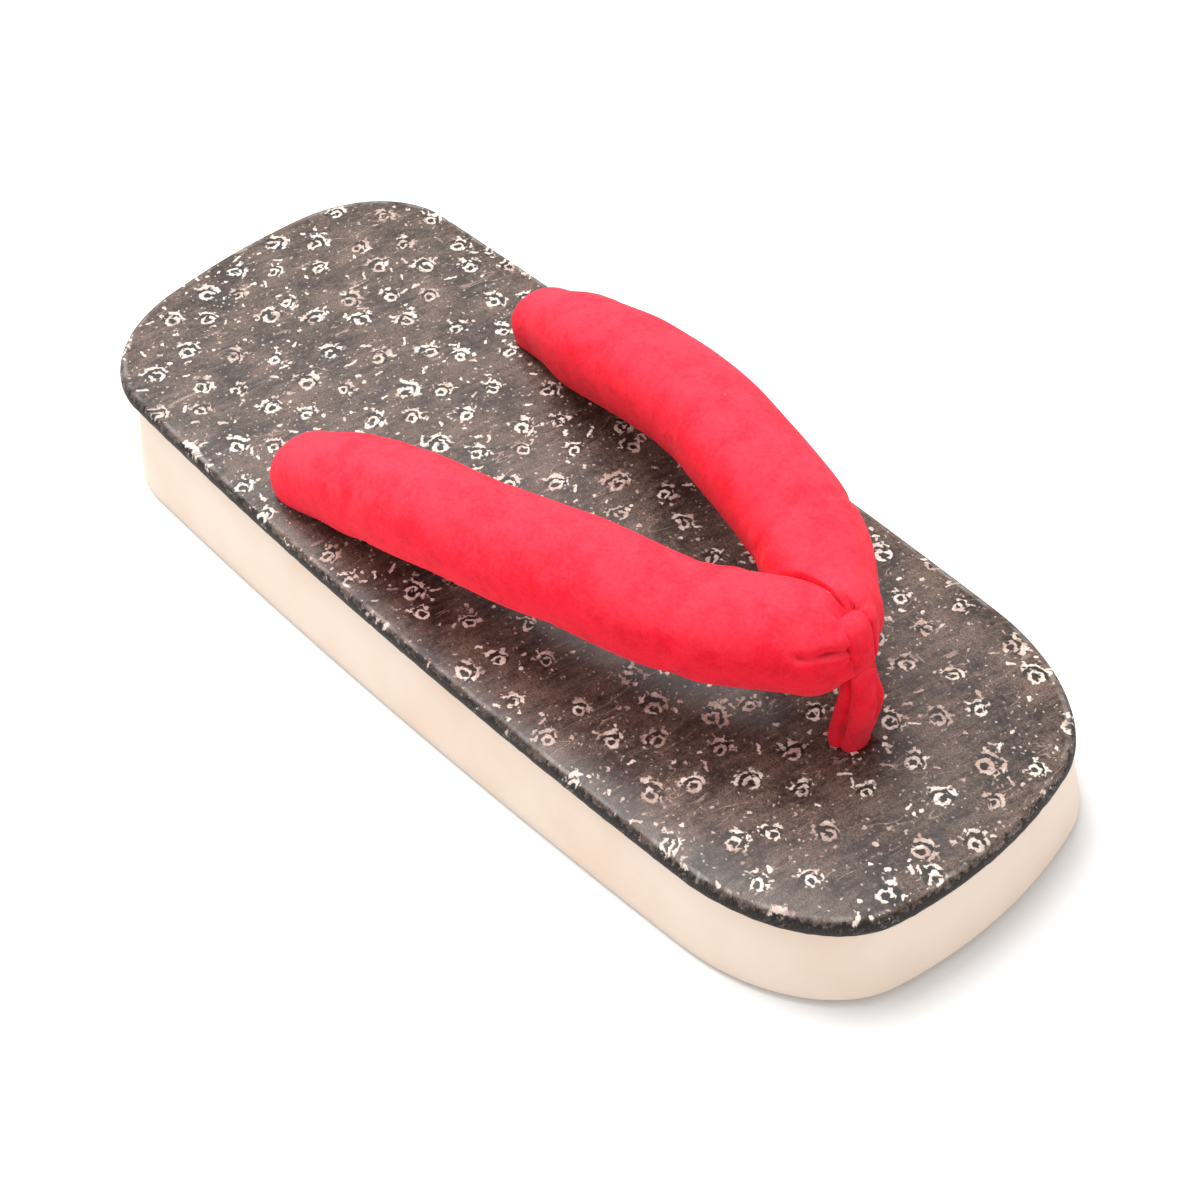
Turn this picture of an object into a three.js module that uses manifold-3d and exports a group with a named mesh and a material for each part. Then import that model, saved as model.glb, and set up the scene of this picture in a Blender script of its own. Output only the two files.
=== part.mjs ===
// A sandal of the flat geta kind: a moulded wedge sole, a padded footbed cover, two padded straps joined
// between the toes, and the toe loop that holds their joint.
// Millimetres: X runs to the toe, Y to the wearer's left, Z up. The origin lies on the floor under the middle
// of the sandal.
import * as THREE from 'three';
import { mergeVertices } from 'three/addons/utils/BufferGeometryUtils.js';
import Module from 'manifold-3d';

// Plan outline of the footbed cover. It is the same to the left and to the right.
const LENGTH = 241;
const TOE_WIDTH = 83;
const MIDDLE_WIDTH = 93.2;
const HEEL_WIDTH = 88.4;
const TOE_BULGE = 11.7;
const HEEL_BULGE = 7.1;
const TOE_CORNER_LONG = 27.9;
const TOE_CORNER_ACROSS = 19.3;
const HEEL_CORNER_LONG = 18.7;
const HEEL_CORNER_ACROSS = 24.5;
const CORNER_POWER = 2.2;

// Side outline: heights of the cover's upper face, and how far it dips below a straight line.
const HEEL_HEIGHT = 33.6;
const TOE_HEIGHT = 23.5;
const TOP_DIP = 1.1;
const COVER_THICKNESS = 4.3;
const COVER_EDGE_ROUND = 2;
const SOLE_FLARE = 1.8;
const SOLE_TUCK_HEEL = 2.8;
const SOLE_TUCK_TOE = 0.6;
const SOLE_EDGE_ROUND = 1.5;
const TOE_SPRING = 1.5;
const TOE_SPRING_LENGTH = 45;

// Gap kept between pieces that touch or pass through each other.
const CLEARANCE = 0.3;

// Corners nearer than this are one corner.
const MERGE_DISTANCE = 1e-4;

// Strap holes, tails and the knots under the sole.
const REAR_HOLES_FROM_HEEL = 76;
const REAR_HOLES_APART = 68;
const FRONT_HOLE_FROM_TOE = 35.5;
const TAIL_DIAMETER = 7.6;
const KNOT_DIAMETER = 13.6;
const KNOT_HEIGHT = 5.6;
const KNOT_ROOM = 0.6;
const RECESS_DEPTH = 8.5;

// Straps: padded tubes, round in section, that rise from the rear holes and meet behind the front hole.
const STRAP_WIDTH = 21.8;
const STRAP_THICKNESS = 20.8;
const STRAP_RISE = 24.9;
const STRAP_SECTION_POWER = 2.15;
const JOINT_BEHIND_FRONT_HOLE = 7.4;
const JOINT_END_LENGTH = 9;
const JOINT_END_POWER = 0.9;

// Toe loop: a band folded over the joint, with its two strands side by side down to the front hole.
const LOOP_BAND_WIDTH = 7.6;
const LOOP_BAND_THICKNESS = 2.7;
const LOOP_EDGE_ROUND = 2.3;
const LOOP_OUTER_WIDTH = 8.8;
const LOOP_CROWN_SINK = 0.5;
const STRAND_SLIT = 0.7;
const STRANDS_JOINED = 4;
const EYE_DEPTH = 6;

// Fineness of the facets.
const OUTLINE_STEPS = 80;
const STRAP_AROUND = 22;
const KNEE_STEPS = 5;
const STRAP_STEPS = 15;
const STRAP_END_STEPS = 5;
const HOLE_STEPS = 20;
const KNOT_STEPS = 16;
const BISECTIONS = 40;

// Places that follow from the sizes.
const REAR_HOLE_X = -LENGTH / 2 + REAR_HOLES_FROM_HEEL;
const REAR_HOLE_Y = REAR_HOLES_APART / 2;
const FRONT_HOLE_X = LENGTH / 2 - FRONT_HOLE_FROM_TOE;
const JOINT_X = FRONT_HOLE_X - JOINT_BEHIND_FRONT_HOLE;
const STRAP_SPAN = JOINT_X - REAR_HOLE_X;

// Sections of the sole from the middle of the underside, round the side, to the middle of the upper face.
// ring: share of the outline. round: share of the soft lower edge, inwards. level: share of the height.
// lift: share of the soft lower edge, upwards.
const SOLE_SECTIONS = [
  { ring: 0, round: 1, level: 0, lift: 0 },
  { ring: 0.4, round: 1, level: 0, lift: 0 },
  { ring: 0.75, round: 1, level: 0, lift: 0 },
  { ring: 1, round: 1, level: 0, lift: 0 },
  { ring: 1, round: 0.3, level: 0, lift: 0.3 },
  { ring: 1, round: 0, level: 0, lift: 1 },
  { ring: 1, round: 0, level: 0.5, lift: 0 },
  { ring: 1, round: 0, level: 0.96, lift: 0 },
  { ring: 1, round: 0.35, level: 1, lift: 0 },
  { ring: 0.66, round: 0.35, level: 1, lift: 0 },
  { ring: 0.33, round: 0.35, level: 1, lift: 0 },
  { ring: 0, round: 0, level: 1, lift: 0 },
];

// Sections of the cover in the same order. inset: share of the round of its edge. level: share of its
// thickness.
const COVER_SECTIONS = [
  { ring: 0, inset: 0, level: 0 },
  { ring: 0.33, inset: 0.5, level: 0 },
  { ring: 0.66, inset: 0.5, level: 0 },
  { ring: 1, inset: 0.5, level: 0 },
  { ring: 1, inset: 0.1, level: 0.07 },
  { ring: 1, inset: 0, level: 0.28 },
  { ring: 1, inset: 0.05, level: 0.6 },
  { ring: 1, inset: 0.35, level: 0.86 },
  { ring: 1, inset: 1, level: 1 },
  { ring: 0.66, inset: 1, level: 1 },
  { ring: 0.33, inset: 1, level: 1 },
  { ring: 0, inset: 0, level: 1 },
];

// Middle line of one strap. along: share of the strap's span. out: share of half the distance between the
// rear holes. rise: share of the strap's rise over the cover.
const STRAP_LINE = [
  { along: 0.05, out: 0.965, rise: 0.31 },
  { along: 0.17, out: 0.91, rise: 0.54 },
  { along: 0.332, out: 0.853, rise: 0.767 },
  { along: 0.5, out: 0.77, rise: 0.9 },
  { along: 0.636, out: 0.647, rise: 0.964 },
  { along: 0.85, out: 0.425, rise: 0.975 },
  { along: 1, out: 0.09, rise: 1 },
];

// Girth of one strap. at: share of the middle line. width and height: shares of the full width and thickness.
const STRAP_GIRTH = [
  { at: 0, width: 0.8, height: 0.8 },
  { at: 0.12, width: 0.92, height: 0.95 },
  { at: 0.3, width: 1, height: 1 },
  { at: 0.75, width: 1.02, height: 1.01 },
  { at: 1, width: 0.98, height: 0.98 },
];

// Side view of the toe loop from the cover up. up: share of its height. lean: share of the gap from the front
// hole to the joint, forwards. half: share of half its outer width.
const LOOP_SIDE = [
  { up: 0, lean: 0, half: 0.8 },
  { up: 0.12, lean: 0.1, half: 1 },
  { up: 0.28, lean: 0.2, half: 1.03 },
  { up: 0.45, lean: 0.2, half: 0.96 },
  { up: 0.62, lean: 0.1, half: 1 },
  { up: 0.8, lean: -0.03, half: 1.06 },
];

const wasm = await Module();
wasm.setup();

/** Height of the cover's upper face over the floor. */
function coverTop(x) {
  const share = x / LENGTH + 0.5;
  return THREE.MathUtils.lerp(HEEL_HEIGHT, TOE_HEIGHT, share) - TOP_DIP * 4 * share * (1 - share);
}

/** Height of the cover's lower face over the floor. */
function coverBottom(x) {
  return coverTop(x) - COVER_THICKNESS;
}

/** Height of the sole's upper face over the floor. */
function soleTop(x) {
  return coverBottom(x) - CLEARANCE;
}

/** Height of the sole's underside: flat on the floor, then springing up to the toe. */
function soleBottom(x) {
  const share = Math.max((x - LENGTH / 2 + TOE_SPRING_LENGTH) / TOE_SPRING_LENGTH, 0);
  return TOE_SPRING * share * share;
}

/** Negative inside the plan outline that lies `outset` outside the cover's own, positive outside it. */
function outsideOutline(x, y, outset) {
  const share = (2 * x) / LENGTH;
  const across = (2 * y) / MIDDLE_WIDTH;
  const skew = ((TOE_WIDTH - HEEL_WIDTH) / 4) * share;
  const spread = ((TOE_WIDTH + HEEL_WIDTH) / 4 - MIDDLE_WIDTH / 2) * share * share;
  const halfWidth = MIDDLE_WIDTH / 2 + skew + spread;
  const bulge = x > 0 ? TOE_BULGE : HEEL_BULGE;
  const long = x > 0 ? TOE_CORNER_LONG : HEEL_CORNER_LONG;
  const wide = x > 0 ? TOE_CORNER_ACROSS : HEEL_CORNER_ACROSS;
  const pastEnd = Math.abs(x) - (LENGTH / 2 - bulge * across * across) - outset;
  const pastSide = Math.abs(y) - halfWidth - outset;
  const endShare = Math.max(pastEnd / long + 1, 0);
  const sideShare = Math.max(pastSide / wide + 1, 0);
  return endShare ** CORNER_POWER + sideShare ** CORNER_POWER - 1;
}

/** Point of the plan outline in the direction of `angle`, measured with the outline squeezed to a square. */
function outlinePoint(angle, outset) {
  const towardX = (Math.cos(angle) * LENGTH) / 2;
  const towardY = (Math.sin(angle) * MIDDLE_WIDTH) / 2;
  let inner = 0;
  let outer = 2;
  for (let step = 0; step < BISECTIONS; step += 1) {
    const middle = (inner + outer) / 2;
    if (outsideOutline(middle * towardX, middle * towardY, outset) < 0) inner = middle;
    else outer = middle;
  }
  return new THREE.Vector2(inner * towardX, inner * towardY);
}

/** Turns a closed three.js geometry into a solid. */
function toSolid(geometry) {
  const bare = geometry.clone();
  bare.deleteAttribute('normal');
  bare.deleteAttribute('uv');
  const merged = mergeVertices(bare, MERGE_DISTANCE);
  const corners = [];
  for (let i = 0; i < merged.index.count; i += 3) {
    const [a, b, c] = [0, 1, 2].map((k) => merged.index.getX(i + k));
    if (a !== b && b !== c && c !== a) corners.push(a, b, c);
  }
  const vertProperties = new Float32Array(merged.getAttribute('position').array);
  const triVerts = new Uint32Array(corners);
  return new wasm.Manifold(new wasm.Mesh({ numProp: 3, vertProperties, triVerts }));
}

/** Turns a solid back into a three.js geometry with flat facets. */
function toGeometry(solid) {
  const { vertProperties, triVerts, numProp } = solid.getMesh();
  const positions = new Float32Array((vertProperties.length / numProp) * 3);
  for (let i = 0; i < positions.length / 3; i += 1) {
    positions.set(vertProperties.subarray(i * numProp, i * numProp + 3), i * 3);
  }
  const geometry = new THREE.BufferGeometry();
  geometry.setAttribute('position', new THREE.BufferAttribute(positions, 3));
  geometry.setIndex(new THREE.BufferAttribute(new Uint32Array(triVerts), 1));
  const flat = geometry.toNonIndexed();
  flat.computeVertexNormals();
  return flat;
}

/**
 * A closed form made of rings. Each ring has a `ring` share, 0 at the first and the last, which close it.
 * `place` carries a ring and an angle on it to the real point.
 */
function ringForm(rings, around, place) {
  const profile = rings.map((ring, index) => new THREE.Vector2(ring.ring, index));
  const form = new THREE.LatheGeometry(profile, around);
  const points = form.getAttribute('position');
  for (let i = 0; i < points.count; i += 1) {
    const ring = rings[Math.round(points.getY(i))];
    const angle = Math.atan2(points.getX(i), points.getZ(i));
    const spot = place(ring, angle);
    points.setXYZ(i, spot.x, spot.y, spot.z);
  }
  return toSolid(form);
}

/** Value of a column of a table at a share between its rows, eased from row to row. */
function fromTable(rows, at, column) {
  const next = Math.max(rows.findIndex((row) => row.at >= at), 1);
  const [before, after] = [rows[next - 1], rows[next]];
  const share = THREE.MathUtils.smoothstep(at, before.at, after.at);
  return THREE.MathUtils.lerp(before[column], after[column], share);
}

/** An upright round rod from height `low` to height `high`. */
function uprightRod(x, y, low, high, diameter) {
  const rod = new THREE.CylinderGeometry(diameter / 2, diameter / 2, high - low, HOLE_STEPS);
  rod.rotateX(Math.PI / 2);
  rod.translate(x, y, (low + high) / 2);
  return toSolid(rod);
}

/** The three strap holes, each with the recess for its knot, grown out of the sole's underside. */
function strapHoles() {
  const spots = [
    [REAR_HOLE_X, REAR_HOLE_Y],
    [REAR_HOLE_X, -REAR_HOLE_Y],
    [FRONT_HOLE_X, 0],
  ];
  const low = -COVER_THICKNESS;
  const high = HEEL_HEIGHT + COVER_THICKNESS;
  const holes = spots.map(([x, y]) => {
    const through = uprightRod(x, y, low, high, TAIL_DIAMETER + 2 * CLEARANCE);
    const recess = uprightRod(x, y, low, RECESS_DEPTH, KNOT_DIAMETER + 2 * KNOT_ROOM);
    return through.add(recess);
  });
  return holes.reduce((all, hole) => all.add(hole));
}

/** A tail that runs down through the cover and the sole from height `high` and ends in its knot. */
function knottedTail(x, y, high) {
  const knotTop = RECESS_DEPTH - CLEARANCE;
  const knot = new THREE.SphereGeometry(0.5, KNOT_STEPS, KNOT_STEPS / 2);
  knot.rotateX(Math.PI / 2);
  knot.scale(KNOT_DIAMETER, KNOT_DIAMETER, KNOT_HEIGHT);
  knot.translate(x, y, knotTop - KNOT_HEIGHT / 2);
  return toSolid(knot).add(uprightRod(x, y, knotTop - KNOT_HEIGHT / 2, high, TAIL_DIAMETER));
}

/** The wedge sole: flared side, soft lower edge, toe spring, strap holes and knot recesses. */
function soleSolid() {
  const body = ringForm(SOLE_SECTIONS, OUTLINE_STEPS, (section, angle) => {
    const along = outlinePoint(angle, 0).x / LENGTH + 0.5;
    const tuck = THREE.MathUtils.lerp(SOLE_TUCK_HEEL, SOLE_TUCK_TOE, along);
    const lean = THREE.MathUtils.lerp(SOLE_FLARE, -tuck, section.level);
    const spot = outlinePoint(angle, lean - section.round * SOLE_EDGE_ROUND).multiplyScalar(section.ring);
    const height = THREE.MathUtils.lerp(soleBottom(spot.x), soleTop(spot.x), section.level);
    return new THREE.Vector3(spot.x, spot.y, height + section.lift * SOLE_EDGE_ROUND);
  });
  return body.subtract(strapHoles());
}

/** The padded footbed cover: one thickness all over, its edge rounded over and tucked under. */
function coverSolid() {
  const body = ringForm(COVER_SECTIONS, OUTLINE_STEPS, (section, angle) => {
    const spot = outlinePoint(angle, -section.inset * COVER_EDGE_ROUND).multiplyScalar(section.ring);
    return new THREE.Vector3(spot.x, spot.y, coverBottom(spot.x) + section.level * COVER_THICKNESS);
  });
  return body.subtract(strapHoles());
}

/** Middle line of one strap, from its root to the joint. */
function strapLine(side) {
  const points = STRAP_LINE.map((row) => {
    const x = REAR_HOLE_X + row.along * STRAP_SPAN;
    return new THREE.Vector3(x, side * row.out * REAR_HOLE_Y, coverTop(x) + row.rise * STRAP_RISE);
  });
  return new THREE.CatmullRomCurve3(points, false, 'centripetal');
}

/** Frame of the ring at a share of the line: its centre, the way on, the way across and the way over. */
function ringFrame(line, at) {
  const ahead = line.getTangentAt(at);
  const across = new THREE.Vector3(0, 0, 1).cross(ahead).normalize();
  const over = ahead.clone().cross(across);
  const width = fromTable(STRAP_GIRTH, at, 'width') * STRAP_WIDTH;
  const height = fromTable(STRAP_GIRTH, at, 'height') * STRAP_THICKNESS;
  return { ring: 1, centre: line.getPointAt(at), ahead, across, over, width, height };
}

/** The rings of the knee, which turn about the foot of the first ring until they lie on the cover. */
function kneeRings(first) {
  const foot = first.centre.clone().addScaledVector(first.over, -first.height / 2);
  const tilt = Math.PI / 2 - Math.asin(first.ahead.z);
  const rings = [];
  for (let step = 0; step < KNEE_STEPS; step += 1) {
    const turn = tilt * (1 - step / KNEE_STEPS);
    const over = first.over.clone().applyAxisAngle(first.across, -turn);
    const ahead = first.ahead.clone().applyAxisAngle(first.across, -turn);
    const centre = foot.clone().addScaledVector(over, first.height / 2);
    rings.push({ ...first, centre, over, ahead });
  }
  return rings;
}

/** Point of a strap ring, kept on the cover where it rests there. */
function strapPoint(ring, angle) {
  const power = 2 / STRAP_SECTION_POWER;
  const across = Math.sign(Math.cos(angle)) * Math.abs(Math.cos(angle)) ** power * ring.width * 0.5;
  const over = Math.sign(Math.sin(angle)) * Math.abs(Math.sin(angle)) ** power * ring.height * 0.5;
  const spot = ring.centre.clone();
  spot.addScaledVector(ring.across, across * ring.ring).addScaledVector(ring.over, over * ring.ring);
  spot.z = Math.max(spot.z, coverTop(spot.x) + CLEARANCE);
  return spot;
}

/** One padded strap with its tail and knot. `side` is 1 for the left one and -1 for the right one. */
function strapSolid(side) {
  const line = strapLine(side);
  const rings = kneeRings(ringFrame(line, 0));
  for (let step = 0; step <= STRAP_STEPS; step += 1) {
    rings.push(ringFrame(line, step / STRAP_STEPS));
  }
  const last = rings.at(-1);
  for (let step = 1; step <= STRAP_END_STEPS; step += 1) {
    const turn = ((Math.PI / 2) * step) / STRAP_END_STEPS;
    const centre = last.centre.clone().addScaledVector(last.ahead, JOINT_END_LENGTH * Math.sin(turn));
    rings.push({ ...last, centre, ring: step === STRAP_END_STEPS ? 0 : Math.cos(turn) ** JOINT_END_POWER });
  }
  rings.unshift({ ...rings[0], ring: 0 });
  const tube = ringForm(rings, STRAP_AROUND, strapPoint);
  const tailTop = coverTop(REAR_HOLE_X) + TAIL_DIAMETER / 2;
  return tube.add(knottedTail(REAR_HOLE_X, side * REAR_HOLE_Y, tailTop));
}

/** Heights of the toe loop's foot on the cover and of its crown on the joint. */
function loopHeights() {
  return {
    low: coverTop(FRONT_HOLE_X) + CLEARANCE,
    high: coverTop(JOINT_X) + STRAP_RISE + STRAP_THICKNESS / 2 - LOOP_CROWN_SINK,
  };
}

/** The rows of the toe loop's side view at their real places, `grow` wider all round. */
function loopRows(grow) {
  const { low, high } = loopHeights();
  return LOOP_SIDE.map((row) => ({
    middle: FRONT_HOLE_X + row.lean * JOINT_BEHIND_FRONT_HOLE,
    half: (row.half * LOOP_OUTER_WIDTH) / 2 + grow,
    height: THREE.MathUtils.lerp(low, high, row.up),
  }));
}

/** Side view of the toe loop as a closed shape, `grow` larger all round. */
function loopSideShape(grow) {
  const rows = loopRows(grow);
  const shoulder = rows.at(-1);
  const crown = loopHeights().high - shoulder.height + grow;
  const front = rows.map((row) => new THREE.Vector2(row.middle + row.half, row.height));
  const rear = rows.map((row) => new THREE.Vector2(row.middle - row.half, row.height)).reverse();
  const shape = new THREE.Shape();
  shape.moveTo(front[0].x, front[0].y);
  shape.splineThru(front.slice(1));
  shape.absellipse(shoulder.middle, shoulder.height, shoulder.half, crown, 0, Math.PI, false, 0);
  shape.splineThru(rear.slice(1));
  return shape;
}

/** Side view of the toe loop's eye, through which the straps' joint passes, `grow` smaller all round. */
function loopEyeShape(grow) {
  const shoulder = loopRows(0).at(-1);
  const crown = loopHeights().high - shoulder.height;
  const half = shoulder.half - LOOP_BAND_THICKNESS - grow;
  const high = crown - LOOP_BAND_THICKNESS - grow;
  const low = EYE_DEPTH - grow;
  const middle = shoulder.height + (high - low) / 2;
  const eye = new THREE.Shape();
  eye.absellipse(shoulder.middle, middle, half, (high + low) / 2, 0, Math.PI * 2, false, 0);
  return eye;
}

/** A side-view shape given its width across the sandal. */
function acrossSandal(shape, width, round) {
  const form = new THREE.ExtrudeGeometry(shape, {
    depth: width - 2 * round,
    bevelEnabled: round > 0,
    bevelThickness: round,
    bevelSize: round,
    bevelOffset: -round,
    bevelSegments: 3,
    curveSegments: 6,
  });
  form.rotateX(Math.PI / 2);
  form.translate(0, width / 2 - round, 0);
  return toSolid(form);
}

/** The toe loop, `grow` larger all round, without its tail. */
function loopBand(grow) {
  const band = acrossSandal(loopSideShape(grow), LOOP_BAND_WIDTH + 2 * grow, LOOP_EDGE_ROUND);
  return band.subtract(acrossSandal(loopEyeShape(grow), LOOP_BAND_WIDTH * 2, 0));
}

/** The slit between the loop's two strands, from the eye down to where they enter the front hole together. */
function strandSlit() {
  const [foot, ...upper] = loopRows(0);
  const shoulder = upper.at(-1);
  const low = foot.height + STRANDS_JOINED;
  const slit = new THREE.BoxGeometry(STRAND_SLIT, LOOP_BAND_WIDTH * 2, shoulder.height - low);
  slit.translate(shoulder.middle, 0, (shoulder.height + low) / 2);
  return toSolid(slit);
}

/** The toe loop with its tail and knot. */
function loopSolid() {
  const tailTop = loopHeights().low + STRANDS_JOINED / 2;
  return loopBand(0).subtract(strandSlit()).add(knottedTail(FRONT_HOLE_X, 0, tailTop));
}

/** The upper: both straps joined between the toes, with the room in their joint for the toe loop. */
function strapsSolid() {
  return strapSolid(1).add(strapSolid(-1)).subtract(loopBand(CLEARANCE));
}

/** A plain finish without any metal in it. */
function finish(name, color, roughness) {
  return new THREE.MeshStandardMaterial({ name, color, roughness, metalness: 0 });
}

const foam = finish('sole_foam', 0xf3dcc8, 0.6);
const sheet = finish('cover_sheet', 0x4b413e, 0.4);
const velvet = finish('strap_velvet', 0xee2848, 0.95);

const sandal = new THREE.Group();
for (const [name, solid, material] of [
  ['sole', soleSolid(), foam],
  ['footbed_cover', coverSolid(), sheet],
  ['straps', strapsSolid(), velvet],
  ['toe_loop', loopSolid(), velvet],
]) {
  const piece = new THREE.Mesh(toGeometry(solid), material);
  piece.name = name;
  sandal.add(piece);
}

export default sandal;
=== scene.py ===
"""Looks of a flat geta sandal: foam wedge sole, printed footbed cover, padded velvet straps and toe loop.

Lengths are millimetres in the sandal's own frame: X runs to the toe, Y to the wearer's left and Z up from the
floor. The origin lies on the floor under the middle of the sandal.
"""

import logging
import math
from bisect import bisect_left
from collections.abc import Callable, Iterable
from dataclasses import dataclass, field
from enum import Enum
from functools import lru_cache, partial, reduce

import bmesh
import bpy
from mathutils import Matrix, Vector, noise


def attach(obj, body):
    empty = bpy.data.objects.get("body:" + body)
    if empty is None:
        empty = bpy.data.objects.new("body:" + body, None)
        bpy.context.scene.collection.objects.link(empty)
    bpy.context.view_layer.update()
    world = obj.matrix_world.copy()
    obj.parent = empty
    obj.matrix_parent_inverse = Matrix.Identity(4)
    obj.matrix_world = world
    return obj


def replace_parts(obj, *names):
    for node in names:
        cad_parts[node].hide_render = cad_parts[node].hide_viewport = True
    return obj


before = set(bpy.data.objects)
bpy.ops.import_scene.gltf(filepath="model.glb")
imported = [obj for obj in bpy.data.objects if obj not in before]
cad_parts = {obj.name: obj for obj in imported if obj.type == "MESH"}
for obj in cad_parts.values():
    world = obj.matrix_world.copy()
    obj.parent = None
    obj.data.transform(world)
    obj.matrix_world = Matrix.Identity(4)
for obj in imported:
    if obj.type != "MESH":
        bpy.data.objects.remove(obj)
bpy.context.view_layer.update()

BODY = "root"
METRE = 0.001
SHEET_UNIT = 100.0
SHEET_MAP = "Print"
EDGE_MAP = "Edge"
# vertex layer that holds the painted crease shade
CREASE_SHADE_MAP = "PaintedCreaseShade"

log = logging.getLogger("sandal")

Point = tuple[float, float, float]
Colour = tuple[float, float, float, float]
Corners = list[bmesh.types.BMVert]
Placer = Callable[[int], Vector]
Socket = bpy.types.NodeSocket
Value = Socket | float | tuple[float, ...]


class Slot(Enum):
    """Material slots of the record for the sandal's pieces; a piece given one is hung on the sandal's body.
    """

    SOLE = "sole_foam"
    COVER = "cover_sheet"
    VELVET = "strap_velvet"


class Side(Enum):
    """The two straps by their side of the middle line."""

    LEFT = 1
    RIGHT = -1


def eased(share: float) -> float:
    """Share from 0 to 1 that starts and ends slowly."""
    share = min(max(share, 0.0), 1.0)
    return share * share * (3.0 - 2.0 * share)


def blended(low: float, high: float, share: float) -> float:
    """Value between two others."""
    return low + (high - low) * share


def soft_above(value: float, softness: float) -> float:
    """Value held above zero, with a rounded turn instead of a corner."""
    return 0.5 * (value + math.hypot(value, softness))


def sideways(ahead: Vector) -> Vector:
    """Level way across a line that runs `ahead`."""
    return Vector((0.0, 0.0, 1.0)).cross(ahead).normalized()


def placed(name: str, data: bpy.types.ID) -> bpy.types.Object:
    """Puts an object with the given data in the scene."""
    made = bpy.data.objects.new(name, data)
    bpy.context.scene.collection.objects.link(made)
    return made


def take_out(piece: bpy.types.Object) -> None:
    """Takes an object out of the scene, together with its mesh."""
    data = piece.data
    bpy.data.objects.remove(piece)
    bpy.data.meshes.remove(data)


@dataclass(frozen=True)
class Fade:
    """A share that eases from 0 at its start to 1 a reach further on; a negative reach runs downwards."""

    start: float
    reach: float

    def at(self, value: float) -> float:
        """Share at a value."""
        return eased((value - self.start) / self.reach)


class Graph:
    """The node tree of one material, with short calls for the nodes it needs."""

    def __init__(self, name: str) -> None:
        """Starts an empty tree.

        Args:
            name: Name of the material.
        """
        self.material = bpy.data.materials.new(name)
        self.material.use_nodes = True
        self.tree = self.material.node_tree
        self.tree.nodes.clear()

    def feed(self, socket: Socket, value: Value) -> None:
        """Links an output to a socket, or sets the socket's own value."""
        if isinstance(value, Socket):
            self.tree.links.new(value, socket)
        else:
            socket.default_value = value

    def add(self, kind: str, inputs: dict[str | int, Value], **settings: object) -> bpy.types.Node:
        """Adds a node.

        Args:
            kind: Node type without its ShaderNode prefix.
            inputs: Values and outputs for its sockets, by name or number.
            settings: The node's own properties.

        Returns:
            The new node.
        """
        node = self.tree.nodes.new(f"ShaderNode{kind}")
        for name, value in settings.items():
            setattr(node, name, value)
        for name, value in inputs.items():
            self.feed(node.inputs[name], value)
        return node

    def math(self, operation: str, *values: Value) -> Socket:
        """Result of a Math node."""
        return self.add("Math", dict(enumerate(values)), operation=operation).outputs[0]

    def plus(self, *values: Value) -> Socket:
        """Sum of numbers."""
        return reduce(partial(self.math, "ADD"), values)

    def minus(self, first: Value, second: Value) -> Socket:
        """One number less another."""
        return self.math("SUBTRACT", first, second)

    def times(self, *values: Value) -> Socket:
        """Product of numbers."""
        return reduce(partial(self.math, "MULTIPLY"), values)

    def largest(self, *values: Value) -> Socket:
        """Largest of numbers."""
        return reduce(partial(self.math, "MAXIMUM"), values)

    def vector(self, operation: str, *values: Value) -> Socket:
        """Result of a Vector Math node, a number for LENGTH and a vector for the rest."""
        node = self.add("VectorMath", dict(enumerate(values)), operation=operation)
        return node.outputs["Value" if operation == "LENGTH" else "Vector"]

    def scaled(self, vector: Value, scale: Value) -> Socket:
        """A vector times a number."""
        return self.add("VectorMath", {0: vector, "Scale": scale}, operation="SCALE").outputs["Vector"]

    def parts(self, vector: Value) -> list[Socket]:
        """The three parts of a vector."""
        return list(self.add("SeparateXYZ", {0: vector}).outputs)

    def joined(self, x: Value, y: Value, z: Value) -> Socket:
        """A vector made of three numbers."""
        return self.add("CombineXYZ", {0: x, 1: y, 2: z}).outputs[0]

    def ramp(self, value: Value, start: Value, end: Value, first: Value = 0.0, last: Value = 1.0) -> Socket:
        """Eased change from `first` to `last` while the value goes from `start` to `end`."""
        inputs = {"Value": value, "From Min": start, "From Max": end, "To Min": first, "To Max": last}
        node = self.add("MapRange", inputs, interpolation_type="SMOOTHSTEP")
        return node.outputs["Result"]

    def mixed(self, share: Value, first: Value, second: Value) -> Socket:
        """Colour between two colours."""
        node = self.add("Mix", {0: share, 6: first, 7: second}, data_type="RGBA")
        return node.outputs[2]

    def noise(
        self, coords: Value, scale: float, detail: float = 2.0, roughness: float = 0.5
    ) -> bpy.types.Node:
        """A noise texture node over the coordinates."""
        inputs = {"Vector": coords, "Scale": scale, "Detail": detail, "Roughness": roughness}
        return self.add("TexNoise", inputs)

    def grain(self, coords: Value, scale: float, detail: float = 2.0, roughness: float = 0.5) -> Socket:
        """One number of noise over the coordinates."""
        return self.noise(coords, scale, detail, roughness).outputs[0]

    def millimetres(self) -> Socket:
        """The piece's own coordinates in millimetres."""
        return self.scaled(self.add("TexCoord", {}).outputs["Object"], 1.0 / METRE)

    def bumped(self, height: Value, distance: float, strength: float = 1.0) -> Socket:
        """Normal of a surface with the height laid on it, `distance` millimetres at a height of 1."""
        inputs = {"Height": height, "Distance": distance * METRE, "Strength": strength}
        return self.add("Bump", inputs).outputs[0]

    def surface(self, inputs: dict[str | int, Value]) -> bpy.types.Material:
        """Ends the tree with a surface shader.

        Args:
            inputs: Values and outputs for the shader's sockets.

        Returns:
            The finished material.
        """
        shader = self.add("BsdfPrincipled", inputs)
        self.add("OutputMaterial", {"Surface": shader.outputs[0]})
        return self.material


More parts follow.
